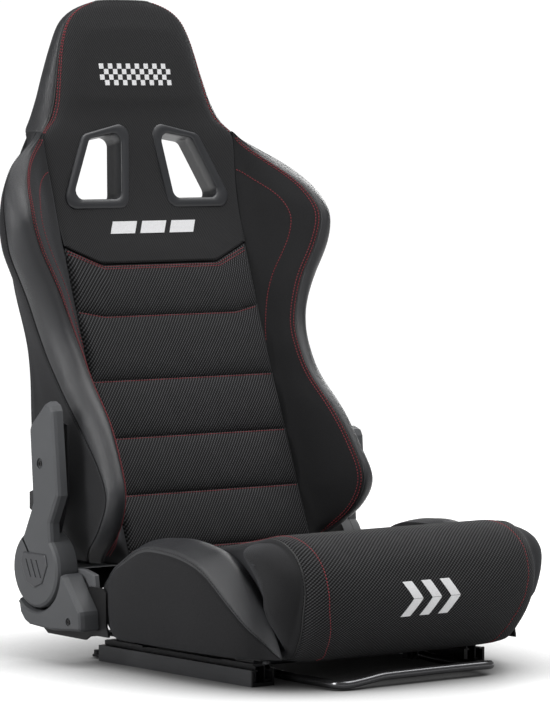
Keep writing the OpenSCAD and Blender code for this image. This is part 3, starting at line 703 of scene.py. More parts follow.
def spread(lo, hi, step, near, steps):
    """Row positions with extra rows beside each seam."""
    rows = list(np.arange(lo, hi, step)) + [hi]
    for s in near:
        rows = [r for r in rows if abs(r - s) > steps[-1] + step * 0.3]
        rows += [s] + [s + k for k in steps] + [s - k for k in steps]
    return np.array(sorted(r for r in set(np.round(rows, 3)) if lo <= r <= hi))


# ---- backrest: side bolsters
Z_FOOT, Z_TOP = 130, 721.0
SKIN_LIFT = 0.0002
bz = np.linspace(Z_FOOT, Z_TOP, 150)
# places round a bolster's section: its seams are at 3 and 6, its rear edge at 8
SEAM_IN, SEAM_OUT, REAR_EDGE, WALL = 3.0, 6.0, 8.0, 9.0
b_params = stations(8, [s + k for s in (SEAM_IN, SEAM_OUT) for k in (-0.1, -0.05, 0.05, 0.1)], 4)


def rear_inner(z):
    return soft_curve(REAR, z) - 12.6


def bolster_rings(z):
    """Sections of the left bolster at heights z: its front, its flank, the rear and the inner wall."""
    yf, yr = soft_curve(FRONT, z), rear_inner(z)
    xo, xr, x0 = soft_curve(OUTER, z), soft_curve(RIDGE, z), curve(INNER, z)
    xr = np.maximum(xr, x0 + 1)
    xo = np.maximum(xo - 2 * np.clip((z - 700) / 20, 0, 1), xr + 1)
    yn, ys, xc = soft_curve(NOSE, z), soft_curve(SEAM, z), np.maximum(soft_curve(REAR_HALF, z), x0 + 2)
    flank = np.where(z < 400, np.minimum(xo - 7, 229), xo - 7)
    lean = np.clip((z - 590) / 70, 0, 1)
    flank = np.maximum(flank - 7 * lean, x0 + 1.5)
    xc = np.maximum(xc - 6 * lean, x0 + 0.8)
    C = np.stack([
        np.stack([x0, yf + 1], -1),
        np.stack([x0 + 0.3 * (xr - x0), yf - 0.16 * (yf - yn)], -1),
        np.stack([x0 + 0.72 * (xr - x0), yf - 0.66 * (yf - yn)], -1),
        np.stack([xr, yn + 2], -1),
        np.stack([xr + 0.5 * (xo - xr), yn], -1),
        np.stack([xo - 2, yn + 0.45 * (ys - yn)], -1),
        np.stack([xo, ys], -1),
        np.stack([flank, np.minimum(ys + 25 - 8 * lean, yr - 8)], -1),
        np.stack([xc, yr], -1)], 1)
    L = spline(C, b_params)
    back = np.stack([np.stack([xc + (x0 - xc) * k, yr], -1) for k in (0.25, 0.5, 0.75, 1.0)], 1)
    inner = np.stack([np.stack([x0, yr + (yf + 1 - yr) * k], -1) for k in (0.2, 0.4, 0.6, 0.8)], 1)
    R = np.concatenate([L, back, inner], 1)
    R = np.concatenate([R, np.repeat(z[:, None, None], R.shape[1], 1)], -1)
    return fade(R, 4)


rings = bolster_rings(bz)
nb = len(b_params)
col_v = np.r_[b_params, np.full(8, WALL)]
mid = (col_v + np.r_[col_v[1:], WALL]) / 2
col_mat = np.where(mid > SEAM_OUT, 2, np.where(mid > SEAM_IN, 1, 0))
bol = Ring("back_bolster_left_pad", rings, ["cloth", "leather", "side"], col_mat, dome=3)
vv = bol.tall(col_v)
row_z = bol.wide(bol.P[:, 0, 2])
free = np.clip(1 - band(vv, SEAM_IN, 0.12) - band(vv, SEAM_OUT, 0.12) - band(vv, 0, 0.25), 0, 1)
free[vv > REAR_EDGE - 0.3] = 0
free *= step_up(row_z, 0.14, 0.03) * step_up(row_z, 0.712, -0.02)
puff(bol, free, 2.2, 20, 0.0028, 0.01, 0.08)
groove = 0.0022 * band(vv, SEAM_IN, 0.07) + 0.0018 * band(vv, SEAM_OUT, 0.06)
groove[vv > REAR_EDGE] = 0
bol.push(-groove)
V_IN = int(np.argmin(np.abs(b_params - SEAM_IN)))
V_OUT = int(np.argmin(np.abs(b_params - SEAM_OUT)))
fr = np.arange(3, bol.nu - 6, 0.5)
G = bol.grid()


def offset_cols(base, mm, sign):
    """Columns a fixed distance to one side of a seam column, for each row of fr."""
    cols = []
    for r in fr:
        row = G[int(r)]
        d, j = 0.0, base
        while d < mm * MM and 0 < j < nb - 1:
            step = np.linalg.norm(row[j + sign] - row[j])
            if d + step > mm * MM:
                j = j + sign * (mm * MM - d) / step
                break
            d += step
            j += sign
        cols.append(j)
    c = np.array(cols, float)
    k = np.ones(9) / 9
    return np.convolve(np.pad(c, 4, mode="edge"), k, "valid")


red_lines = [line_on(bol, fr, offset_cols(V_IN, mm, -1), SKIN_LIFT) for mm in (3.5, 8.0)]
dark_lines = [line_on(bol, fr, offset_cols(V_OUT, 3.0, 1), SKIN_LIFT)]
# the curved line sewn across the shoulder: height in mm, place round the section
deco = np.array([[668, 0.12], [664, 0.6], [652, 1.15], [632, 1.6], [606, 1.8], [580, 1.8], [550, 1.65],
                 [520, 1.4], [490, 1.1], [460, 0.75], [435, 0.35], [420, 0.12]])
dd = spline(deco, np.linspace(0, len(deco) - 1.001, 160))
deco_rows = np.interp(dd[:, 0] * MM, G[:, 0, 2], np.arange(bol.nu))
deco_cols = np.interp(dd[:, 1], b_params, np.arange(nb))
red_lines.append(line_on(bol, deco_rows, deco_cols, SKIN_LIFT))
ridge_path, _ = line_on(bol, np.arange(0, bol.nu - 4.5, 1.0), float(V_IN), 0.0006)
bol_right = mirrored(bol.ob, "back_bolster_right_pad")
for ob, side in ((bol.ob, "left"), (bol_right, "right")):
    settle(ob, "backrest", "leather_black", "back_bolster_" + side, fill=PAD_FILL)

# ---- backrest: middle insert with channels
HALF = 159.3
INSERT_TOP = 537
SEAMS = [467, 379, 301, 224, 150]
PANEL_DEPTH = 28
N_FRONT = 71
even = np.linspace(-1, 1, N_FRONT)
px = np.sign(even) * np.abs(even) ** 0.92


def seam_rise(x):
    """How far the insert's top seam lies above its middle; it rises at both ends."""
    return np.clip((np.abs(x) - 101) / 57, 0, 1.03) * 25


def panel_ring(z_of_x):
    """One ring of the insert: front from the right to the left side, then round the back."""
    x = px * HALF
    z = z_of_x(x)
    y = soft_curve(FRONT, z) - 2 * (1 - np.abs(px) ** 3)
    front = np.stack([x, y, z], -1)
    xb = np.linspace(1, -1, 13) * HALF
    zb = z_of_x(xb)
    yb = soft_curve(FRONT, zb) + PANEL_DEPTH
    back = np.stack([xb, yb, zb], -1)
    left = [front[-1] * (1 - k) + back[0] * k for k in (0.25, 0.5, 0.75)]
    right = [back[-1] * (1 - k) + front[0] * k for k in (0.25, 0.5, 0.75)]
    return np.concatenate([front, left, back, right])


def row_height(r):
    """Height of a row over x: near the highest seam its ends rise, and above it the top seam leads."""
    def f(x):
        w = step_up(r, SEAMS[0], INSERT_TOP - SEAMS[0])
        low = step_up(np.abs(x), 115, 45) * 9 * np.clip(1 - abs(r - SEAMS[0]) / 60, 0, 1)
        return r + seam_rise(x) * w + low * (1 - w)
    return f


rows = spread(Z_FOOT, INSERT_TOP, 4.5, SEAMS, (1.0, 2.2, 4.2))
rows = np.r_[rows[rows <= INSERT_TOP - 1], INSERT_TOP]
ins_rings = np.stack([panel_ring(row_height(r)) for r in rows])
ins = Ring("back_insert_pad", ins_rings, ["mesh"], np.zeros(ins_rings.shape[1], int), uv_mid=N_FRONT // 2)
rz = ins.wide(rows)
front_mask = np.zeros(ins.nv)
front_mask[:N_FRONT] = np.clip((1 - np.abs(px)) / 0.05, 0, 1) ** 0.5
pillow = np.zeros_like(rz)
edges = [Z_FOOT] + sorted(SEAMS) + [INSERT_TOP]
for a, b in zip(edges[:-1], edges[1:]):
    u = step_up(rz, a, b - a)
    swell = np.power(np.clip(4 * u * (1 - u), 0, 1), 0.42)
    pillow = np.maximum(pillow, np.where((rz >= a) & (rz <= b), swell, 0))
ins.push(pillow * front_mask[None] * 0.0062 - (1 - pillow) * front_mask[None] * 0.0012)
near = np.zeros_like(rz)
for s in edges:
    near = np.maximum(near, band(rz, s, 2.0))
puff(ins, np.clip(pillow * 1.4 - near, 0, 1) * front_mask[None], 2.0, 20, 0.0028, 0.03)
def across(z):
    """A sewn line over the insert's front at height z."""
    first, last = np.interp((-0.985, 0.985), px, np.arange(N_FRONT))
    row = np.interp(z, rows, np.arange(len(rows)))
    return line_on(ins, row, np.linspace(first, last, 260), 0.0003)


red_lines += [across(z) for z in [s - 2.6 for s in SEAMS] + [534.0, 530.5]]
settle(ins.ob, "backrest", "mesh_black", "back_insert", fill=PAD_FILL)

# ---- backrest: chest and head
# places round half a section, from its middle; the head's leather strip begins at HEAD_SEAM
HEAD_SEAM = 3.5
HP = stations(6, [3.3, 3.4, 3.5, 3.6, 3.7])
nh = len(HP)
N_REAR = 12


def chest_ring(r):
    """Section at height r in x and y, from the right side over the front to the left side."""
    half = np.where(r < Z_TOP, curve(INNER, np.minimum(r, Z_TOP)) - 0.5, soft_curve(OUTER, r))
    f = soft_curve(FRONT, r)
    rear = rear_inner(r)
    t = rear - f
    s = float(step_up(r, 715, 25))
    # section of the free-standing head, softened into the flat panel below
    q = float(step_up(r, 850, -90))
    ctrl_head = [[0, f - 2], [half * 0.47, f - 1.5], [half * (0.80 - 0.06 * q), f + t * 0.02],
                 [half * (0.93 - 0.07 * q), f + t * (0.14 - 0.04 * q)],
                 [half * (0.995 - 0.01 * q), f + t * 0.40],
                 [half * (0.99 + 0.02 * q), f + t * 0.75], [half * (0.95 + 0.05 * q), rear]]
    ctrl_flat = [[0, f - 2], [half * 0.5, f - 1.5], [half * 0.80, f - 1], [half * 0.985, f],
                 [half, f + t * 0.2], [half, f + t * 0.66], [half, rear]]
    ctrl = (1 - s) * np.array(ctrl_flat, float) + s * np.array(ctrl_head, float)
    return both_ways(spline(ctrl, HP))


def both_ways(L):
    """A half outline in x, y from the middle, made whole from the right side to the left."""
    return np.concatenate([np.stack([-L[::-1][:, 0], L[::-1][:, 1]], -1)[:-1], L])


def chest_row(r):
    """One ring of the chest and head; the lowest ones follow the insert's top seam."""
    xy = chest_ring(r)
    y, z = xy[:, 1], np.full(len(xy), r)
    if r < 640:
        level = soft_curve(FRONT, z)
        z = r + seam_rise(xy[:, 0]) * step_up(r, 640, -100)
        on_front = np.clip((level + 6 - y) / 6, 0, 1)
        y = y + (soft_curve(FRONT, z) - level) * on_front
    back_x = np.linspace(xy[-1, 0], xy[0, 0], N_REAR + 2)[1:-1]
    back = np.stack([back_x, np.full(N_REAR, y[-1]), np.full(N_REAR, z[-1])], -1)
    return np.concatenate([np.stack([xy[:, 0], y, z], -1), back])


c_rows = np.r_[np.linspace(539.5, 700, 42), np.linspace(704, 880, 44),
               [886, 892, 897, 901, 904.5, 907, 908.6]]
rings = fade(np.array([chest_row(r) for r in c_rows]), 2)
head = Ring("back_centre_pad", rings, ["twill", "leather"], np.zeros(rings.shape[1], int), dome=2.6,
            uv_mid=nh - 1)
v_abs = np.abs(np.r_[-HP[::-1][:-1], HP, np.full(N_REAR, 7.0)])
va = head.tall(v_abs)
vz = head.P[:, 0, 2]
vz2 = head.wide(vz)
vmid = (va[:-1] + np.roll(va, -1, 1)[:-1]) / 2
head.paint((vmid > HEAD_SEAM) & (vmid < 6.6) & (vz2[:-1] > 0.7205), 0)
is_head = step_up(vz2, 0.722, 0.01)
hold_edges = band(va, HEAD_SEAM, 0.25) * is_head + band(va, 6, 0.4) + band(va, 4, 1.2) * (1 - is_head)
free = np.clip(1 - hold_edges, 0, 1)
free[:, v_abs > 6] = 0
# the belt openings' surroundings hardly swell, nor do the ends
free *= 1 - 0.85 * step_up(vz2, 0.585, 0.02) * step_up(vz2, 0.765, -0.02)
free *= step_up(vz2, 0.548, 0.03) * step_up(vz2, 0.895, -0.02)
puff(head, free, 2.0, 20, 0.0026, 0.01)
head.push(-0.0018 * band(va, HEAD_SEAM, 0.12) * is_head)


def head_col(v):
    """Column on the head's left side at a place v of its half section."""
    return nh - 1 + np.interp(v, HP, np.arange(nh))


hr = np.arange(*np.interp((0.7215, 0.9075), vz, np.arange(head.nu)), 0.5)
red_lines += [line_on(head, hr, head_col(v), SKIN_LIFT) for v in (3.36, 3.19)]
head_edge, _ = line_on(head, np.arange(hr[0], head.nu - 1.01, 0.5), head_col(HEAD_SEAM), 0.0004)
one_side = [(p, n) for p, n in red_lines if p[:, 0].min() > 0.001]
both = [(p, n) for p, n in red_lines if p[:, 0].min() <= 0.001]
stitches("back_red_stitches", one_side + mirror_x(one_side) + both, "backrest")
stitches("back_dark_stitches", dark_lines + mirror_x(dark_lines), "backrest", mat="dark_thread")

# ---- harness slots through the pads
LEAN = math.radians(11.3)
SLOT_O = Vector((0, 0.330, 0.624))
SLOT_IN = np.array([[34, 101], [90, 91.5], [131, 5], [47, 5]], float)
SLOT_OUT = np.array([[18, 117], [102, 98], [152, -9], [36, -9]], float)
TUNNEL, FUNNEL_REAR, FUNNEL_OUT = 33.0, 63.0, 24.0


def rounded(p, r, n=7):
    """An outline with its corners rounded by r, in n steps each."""
    out = []
    for i in range(len(p)):
        q = p[i]
        a = p[i - 1] - q
        b = p[(i + 1) % len(p)] - q
        a, b = a / np.linalg.norm(a), b / np.linalg.norm(b)
        half = math.acos(np.clip(a @ b, -1, 1)) / 2
        c = q + (a + b) / np.linalg.norm(a + b) * r / math.sin(half)
        d = r / math.tan(half)
        s, e = q + a * d - c, q + b * d - c
        s, e = s / np.linalg.norm(s), e / np.linalg.norm(e)
        for k in range(n + 1):
            m = s * (1 - k / n) + e * (k / n)
            out.append(c + m / np.linalg.norm(m) * r)
    return np.array(out)


def grown(d):
    """The slot's inner outline, larger by about d and rounded."""
    g = SLOT_IN + np.array([[-0.95, 1.25], [0.75, 1.05], [1.75, -1], [-1.15, -1]]) * d
    return rounded(g, 12 + d)


def slot_point(p, depth):
    """A point of a slot outline at a depth behind the front, in metres in the row frame."""
    up = Vector((0, math.sin(LEAN), math.cos(LEAN)))
    back = Vector((0, math.cos(LEAN), -math.sin(LEAN)))
    return SLOT_O + Vector((p[0] * MM, 0, 0)) + up * (p[1] * MM) + back * (depth * MM)


def side_faces(n, k, closed=False):
    """Faces between k outlines of n points; closed joins the last outline to the first."""
    faces = []
    for a in range(k if closed else k - 1):
        b = (a + 1) % k
        faces += [(a * n + i, a * n + (i + 1) % n, b * n + (i + 1) % n, b * n + i) for i in range(n)]
    return faces


def skin(name, loops, mat, closed=False):
    """Solid through outlines of equal length; closed joins the last outline to the first."""
    n = len(loops[0])
    verts = [v for lp in loops for v in lp]
    k = len(loops)
    faces = side_faces(n, k, closed)
    if not closed:
        faces += [tuple(range(n)), tuple(range(k * n - 1, (k - 1) * n - 1, -1))]
    ob = link(name, verts, faces, [mat], smooth=closed)
    face_out(ob)
    return ob


def cut_slots(ob):
    """Belt openings: straight in front, widening behind the tunnel."""
    loops = [[slot_point(p, d) for p in grown(g)] for g, d in
             ((3.0, -60), (3.0, TUNNEL + 1), (FUNNEL_OUT + 2.6, FUNNEL_REAR), (FUNNEL_OUT + 2.6, 120))]
    left = skin("cut_a", loops, "black")
    right = mirrored(left, "cut_b")
    cut(ob, left)
    cut(ob, right)


cut_slots(head.ob)
settle(head.ob, "backrest", "fabric_black", "chest_panel", "head_pad", fill=PAD_FILL)

# piping along both edges, up the shoulders and over the head
PIPE_STEP = 0.004
pipe = fade(resample(np.concatenate([ridge_path[:-4], head_edge[3:]]), PIPE_STEP), 3)
loop = np.concatenate([pipe, (pipe * np.array([-1, 1, 1]))[::-1]])
tube("back_piping", fade(resample(loop, PIPE_STEP), 3), 0.0016, "piping", "backrest")

# ---- backrest: rear cover
rz_rows = np.r_[np.linspace(89, 886, 158), [891, 896, 900, 903.5]]
REAR_MID = 28
REAR_COLS = 2 * REAR_MID + 1
REAR_INSIDE = 26
CROSS_SEAM = 0.520


def rear_ring(z):
    """One ring of the rear cover: its outside from side to side, then its flat inside."""
    w = soft_curve(REAR_HALF, z)
    d = 0.75 if z > 896 else 1.0
    y0 = soft_curve(REAR, z) - 12
    ctrl = [[0, y0 + 15 * d], [w * 0.35, y0 + 14.6 * d], [w * 0.7, y0 + 12.5 * d],
            [w * 0.9, y0 + 8.5 * d], [w, y0 + 1]]
    back = both_ways(spline(ctrl, np.linspace(0, 4, REAR_MID + 1)))
    front = np.stack([np.linspace(w, -w, REAR_INSIDE), np.full(REAR_INSIDE, y0)], -1)
    xy = np.concatenate([back, front])
    return np.concatenate([xy, np.full((len(xy), 1), z)], 1)


rings = fade(np.array([rear_ring(z) for z in rz_rows]), 3)
rear = Ring("back_cover_skin", rings, ["side"], np.zeros(rings.shape[1], int), uv_mid=REAR_MID)
rv = np.zeros(rear.nv)
rv[:REAR_COLS] = 1 - np.abs(np.linspace(-1, 1, REAR_COLS)) ** 8
rzz = rear.wide(rear.P[:, 0, 2])
free = rv[None] * (1 - band(rzz, CROSS_SEAM, 0.006)) * step_up(rzz, 0.10, 0.03) * step_up(rzz, 0.89, -0.02)
puff(rear, free, 1.4, 16, 0.002, 0.01)
# two long seams near the sides, which stop part of the way up the head, and one seam across
side_seams = band(np.abs(rear.grid()[..., 0]), 0.118, 0.0022) * (rzz < 0.78)
side_seams *= np.arange(rear.nv)[None] < REAR_COLS
rear.push(-(0.0016 * side_seams + 0.0018 * band(rzz, CROSS_SEAM, 0.003) * rv[None]))
cut_slots(rear.ob)
settle(rear.ob, "backrest", "fabric_black", "back_cover", fill=0.5)


# ---- harness bezels
def bezel(name):
    """Flange with a rolled edge, and the tunnel behind it."""
    outer = rounded(SLOT_OUT, 16)
    inner = grown(0)
    rim = [(outer, 2.0, 0.0), (outer, -1.6, 0.0), (outer, -3.0, 0.7), (outer, -3.8, 2.2),
           (inner, -3.6, -2.2), (inner, -2.6, -0.7), (inner, -1.0, 0.0), (inner, TUNNEL, 0.0)]
    loops = []
    for base, depth, inset_by in rim:
        d = base - base.mean(0)
        ln = np.linalg.norm(d, axis=1, keepdims=True)
        loops.append([slot_point(p, depth) for p in base - d / ln * inset_by])
    loops.append([slot_point(p, TUNNEL) for p in grown(2.5)])
    loops.append([slot_point(p, 2.0) for p in grown(2.5)])
    return skin(name, loops, "bezel", closed=True)


bezel_left = bezel("harness_bezel_left_ring")
bezel_right = mirrored(bezel_left, "harness_bezel_right_ring")
for ob, side in ((bezel_left, "left"), (bezel_right, "right")):
    settle(ob, "backrest", "bezel_black", "harness_bezel_" + side)

def rear_bezel(name):
    """Funnel from the end of the tunnel to a flange on the rear surface."""
    seq = [(1.5, TUNNEL + 0.4), (FUNNEL_OUT, FUNNEL_REAR), (FUNNEL_OUT + 1.5, FUNNEL_REAR + 0.9),
           (FUNNEL_OUT + 4.5, FUNNEL_REAR + 0.9), (FUNNEL_OUT + 6, FUNNEL_REAR),
           (FUNNEL_OUT + 6, FUNNEL_REAR - 1.8), (FUNNEL_OUT + 2, FUNNEL_REAR - 1.8), (3.5, TUNNEL + 0.4)]
    return skin(name, [[slot_point(p, d) for p in grown(g)] for g, d in seq], "bezel", closed=True)


rear_left = rear_bezel("harness_rear_bezel_left_ring")
rear_right = mirrored(rear_left, "harness_rear_bezel_right_ring")
for ob in (rear_left, rear_right):
    settle(ob, "backrest", "bezel_black", "harness_rear_bezels")

# ---- seat cushion
C_PAR = np.round(np.linspace(0, 16, 97), 3)
ncp = len(C_PAR)
GUSSET_X = 197.2
CORNER_CENTRE = np.array([-238.0, 166.0])
UNDER = 24
# rings of the rounded corners: x, and their size about CORNER_CENTRE
CORNER_RINGS = [(200.3, 1.0), (206, 0.965), (212, 0.91), (217.5, 0.84), (222.5, 0.75), (227, 0.62),
                (230, 0.47), (232, 0.28)]


def drawn_in(x, yz):
    """The cushion's front narrows towards its lower edge."""
    low = step_up(yz[:, 1], 105, -60) * step_up(yz[:, 0], -170, -60)
    a = min(abs(x), 199.7)
    return math.copysign(1, x) * (a - 12 * low * (a / 199.7) ** 3 + (abs(x) - a) * (1 - 0.75 * low))


def cushion_ring(x):
    """Section of the cushion between the thigh bolsters, closed along its base."""
    s = soft_curve(CUSHION_SIDE, np.abs(x), 4.0) if abs(x) < 190 else curve(CUSHION_SIDE, abs(x))
    c = np.array([[q[0] + s * q[2], q[1] + s * q[3]] for q in CUSHION])
    L = spline(c, C_PAR)
    under = np.linspace(c[-1, 0], c[0, 0], UNDER + 2)[1:-1]
    low = L[0, 1] + (42 - L[0, 1]) * step_up(under, -204, 16)
    yz = np.concatenate([L, np.stack([under, low], -1)])
    return np.concatenate([drawn_in(x, yz)[:, None], yz], 1)


def corner_ring(x, k, side):
    """Section of a corner in front of a thigh bolster, shrunk to k about its centre."""
    L = spline(np.array(CORNER, float), C_PAR)
    bottom = np.stack([L[-1] + (L[0] - L[-1]) * q for q in np.linspace(0, 1, UNDER + 2)[1:-1]])
    yz = CORNER_CENTRE + (np.concatenate([L, bottom]) - CORNER_CENTRE) * k
    return np.concatenate([drawn_in(side * x, yz)[:, None], yz], 1)


mid_x = np.r_[[-199.6, -198.4], np.linspace(-196, 196, 88), [198.4, 199.6]]
corner_x = [x for x, _ in CORNER_RINGS]
row_x = np.r_[[-x for x in corner_x[::-1]], mid_x, corner_x]
rings = [corner_ring(x, k, -1) for x, k in CORNER_RINGS[::-1]]
rings += [cushion_ring(x) for x in mid_x]
rings += [corner_ring(x, k, 1) for x, k in CORNER_RINGS]
rings = np.array(rings)
# the cushion takes the darker mesh copy, which is painted shade
cush = Ring("seat_cushion_pad", rings, ["mesh_seat_painted_shade", "cloth"], np.zeros(rings.shape[1], int), uv_mid=30)
gx = np.abs(cush.wide(row_x))
cv = cush.tall(np.r_[C_PAR, np.full(UNDER, 17.0)])
cush.paint((gx[:-1] + gx[1:]) / 2 > GUSSET_X, 1)
on_top = ((cv > 0.3) & (cv < 15)).astype(float)
# the lengthwise seams: place round the section, x
SEW = np.array([[0, 150], [1, 153], [2, 160], [3, 168], [4, 172], [5, 174], [6, 174], [7, 174], [17, 174]])
sew_x = np.interp(cv, SEW[:, 0], SEW[:, 1])
free = np.clip(1 - band(gx, GUSSET_X, 4.5), 0, 1) * on_top
free[gx > 199] *= 0.6
free *= step_up(cv, 0.3, 0.8) * step_up(cv, 15, -1.5)
puff(cush, free, 2.2, 20, 0.0032, 0.008)
cush.push(-(0.0020 * band(gx, GUSSET_X, 1.6) + 0.0008 * band(gx - sew_x, 0, 1.6)) * on_top)
settle(cush.ob, "seat_base", "fabric_black", "seat_cushion", fill=PAD_FILL)


def cushion_line(x, v, lift):
    """A line along the cushion: x in mm and places v round its section."""
    return line_on(cush, np.interp(x, row_x, np.arange(cush.nu)), np.interp(v, C_PAR, np.arange(ncp)), lift)


ct = np.linspace(0.2, 8.6, 380)
seat_lines = [cushion_line(side * np.interp(ct, SEW[:, 0], SEW[:, 1]), ct, 0.0003) for side in (1, -1)]
stitches("seat_red_stitches", seat_lines, "seat_base")
for side, x in (("left", GUSSET_X), ("right", -GUSSET_X)):
    p, _ = cushion_line(x, np.linspace(0.3, 11.5, 240), 0.0)
    tube("seat_gusset_piping_" + side, p, 0.0011, "piping", "seat_base")

# ---- thigh bolsters
ty = np.r_[[-236, -234.5, -232.5, -230], np.linspace(-227, 114, 94), [117, 120, 123, 125.5, 127]]
# places round a section: its seam is at 4, its lower edge at 7
THIGH_SEAM, THIGH_EDGE, THIGH_WALL = 4, 7, 8.0
THIGH_X = 200.3
T_PAR = stations(7, [3.9, 3.95, 4.05, 4.1])


def thigh_ring(y):
    """Section of the left thigh bolster at y: over the top, then its base and inner wall."""
    w = float(soft_curve(THIGH_W, y, 6.0)) - THIGH_X
    zi, zc = float(soft_curve(THIGH_IN, y, 6.0)), float(soft_curve(THIGH_TOP, y, 6.0))
    zo = min(float(soft_curve(THIGH_OUT, y, 6.0)), zc)
    zb = max(42.3, float(curve(THIGH_BASE, y)))
    c = np.array([[0, zi], [w * 0.22, zi * 0.3 + zc * 0.7], [w * 0.5, zc], [w * 0.82, zc * 0.55 + zo * 0.45],
                  [w, zo], [w, zb + (zo - zb) * 0.5], [w * 0.93, zb + (zo - zb) * 0.08], [w * 0.85, zb]])
    L = spline(c, T_PAR)
    base = np.stack([np.linspace(w * 0.85, 0, 7)[1:], np.full(6, zb)], -1)
    wall = np.stack([np.zeros(14), np.linspace(zb, zi, 16)[1:-1]], -1)
    xz = np.concatenate([L, base, wall])
    return np.stack([THIGH_X + xz[:, 0], np.full(len(xz), y), xz[:, 1]], 1)


t_rings = fade(np.array([thigh_ring(y) for y in ty]), 2)
tcol = np.r_[T_PAR, np.full(20, THIGH_WALL)]
tm = ((tcol + np.r_[tcol[1:], THIGH_WALL]) / 2 > THIGH_SEAM).astype(int)
thigh = Ring("thigh_bolster_left_pad", t_rings, ["leather", "side"], tm)
tv = thigh.tall(tcol)
tyy = thigh.wide(thigh.P[:, 0, 1]) * 1000
free = np.clip(1 - band(tv, 0, 0.3) - band(tv, THIGH_SEAM, 0.22) - band(tv, THIGH_EDGE, 0.3), 0, 1)
free[tv > THIGH_EDGE] = 0
free *= step_up(tyy, -234, 12) * step_up(tyy, 122, -14)
puff(thigh, free, 2.2, 20, 0.0028, 0.008, 0.12)
thigh.push(-0.0018 * band(tv, THIGH_SEAM, 0.10))
tr = np.arange(6, thigh.nu - 5, 0.5)
seat_dark = [line_on(thigh, tr, np.interp(3.86, T_PAR, np.arange(len(T_PAR))), SKIN_LIFT)]
thigh_right = mirrored(thigh.ob, "thigh_bolster_right_pad")
stitches("seat_dark_stitches", seat_dark + mirror_x(seat_dark), "seat_base", mat="dark_thread")
for ob, side in ((thigh.ob, "left"), (thigh_right, "right")):
    settle(ob, "seat_base", "leather_black", "thigh_bolster_" + side, fill=PAD_FILL)


# ---- embroidered marks
PATCH_LIFT = 0.0006
PATCH_EDGE = 0.003
CHECK = 0.0078
CHECK_GAP = 0.0002


def patch(name, polygons, ob, body):
    """Raised white thread fields laid on the skin of ob. polygons are in x, z (metres)."""
    tree = bvh_of(ob)
    bm = bmesh.new()
    for poly in polygons:
        bm.faces.new([bm.verts.new((x, 0, z)) for x, z in poly])
    bmesh.ops.triangulate(bm, faces=bm.faces[:])
    for _ in range(6):
        long = [e for e in bm.edges if e.calc_length() > PATCH_EDGE]
        if not long:
            break
        bmesh.ops.subdivide_edges(bm, edges=long, cuts=1)
        bmesh.ops.triangulate(bm, faces=bm.faces[:])
    for v in bm.verts:
        hit = tree.ray_cast(Vector((v.co.x, -1.0, v.co.z)), Vector((0, 1, 0)))[0]
        spot = v.co if hit is None else hit
        v.co = spot + Vector((0, -1, 0)) * PATCH_LIFT
    bmesh.ops.recalc_face_normals(bm, faces=bm.faces[:])
    ext = bmesh.ops.extrude_face_region(bm, geom=bm.faces[:])
    moved = [g for g in ext["geom"] if isinstance(g, bmesh.types.BMVert)]
    bmesh.ops.translate(bm, vec=Vector((0, PATCH_LIFT * 2.2, 0)), verts=moved)
    bmesh.ops.recalc_face_normals(bm, faces=bm.faces[:])
    me = bpy.data.meshes.new(name)
    bm.to_mesh(me)
    bm.free()
    me.materials.append(MAT["white"])
    me.uv_layers.new(name="UVMap")
    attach(place(name, me), body)


def box_poly(x0, x1, z0, z1, lean=0.0):
    """Four-sided field in x, z whose sides lean towards +x by lean for each unit of height."""
    low, high = lean * (z0 - z1) / 2, lean * (z1 - z0) / 2
    return [(x0 + low, z0), (x1 + low, z0), (x1 + high, z1), (x0 + high, z1)]


checks = []
for row in range(4):
    z1 = 0.8205 - row * CHECK
    for col in range(row % 2, 16, 2):
        x0 = -0.0624 + col * CHECK
        checks.append(box_poly(x0 + CHECK_GAP, x0 + 0.0076, z1 - 0.0076, z1 - CHECK_GAP))
patch("head_check_strip", checks, head.ob, "backrest")
bars = [box_poly(-0.072 + 0.0515 * k, -0.030 + 0.0515 * k, 0.5805, 0.5975, 0.45) for k in range(3)]
patch("chest_bars", bars, head.ob, "backrest")
chev = []
for k in range(3):
    x0 = -0.052 + 0.032 * k
    chev.append([(x0, 0.094), (x0 + 0.016, 0.094), (x0 + 0.034, 0.117), (x0 + 0.018, 0.117)])
    chev.append([(x0 + 0.018, 0.1175), (x0 + 0.034, 0.1175), (x0 + 0.016, 0.1405), (x0, 0.1405)])
patch("seat_chevrons", chev, cush.ob, "seat_base")


# ---- hinge covers: outlines in y, z and layers in x
PIVOT = (225.0, 127.0)
SHARP = 35


def circle(c, r, a0, a1, n):
    """Points on a circle from angle a0 to a1 in n steps."""
    return [[c[0] + r * math.cos(math.radians(a0 + (a1 - a0) * k / n)),
             c[1] + r * math.sin(math.radians(a0 + (a1 - a0) * k / n))] for k in range(n + 1)]


def inset(p, d):
    """Outline moved inwards by d; p runs anticlockwise."""
    p = np.asarray(p, float)
    a, b = np.roll(p, 1, 0), np.roll(p, -1, 0)
    e0, e1 = p - a, b - p
    e0 /= np.linalg.norm(e0, axis=1, keepdims=True) + 1e-9
    e1 /= np.linalg.norm(e1, axis=1, keepdims=True) + 1e-9
    n0, n1 = np.stack([-e0[:, 1], e0[:, 0]], 1), np.stack([-e1[:, 1], e1[:, 0]], 1)
    n = n0 + n1
    n /= np.linalg.norm(n, axis=1, keepdims=True) + 1e-9
    k = np.clip(1 / np.maximum(0.35, (n * n0).sum(1)), 1, 1.6)
    return p + n * (d * k)[:, None]


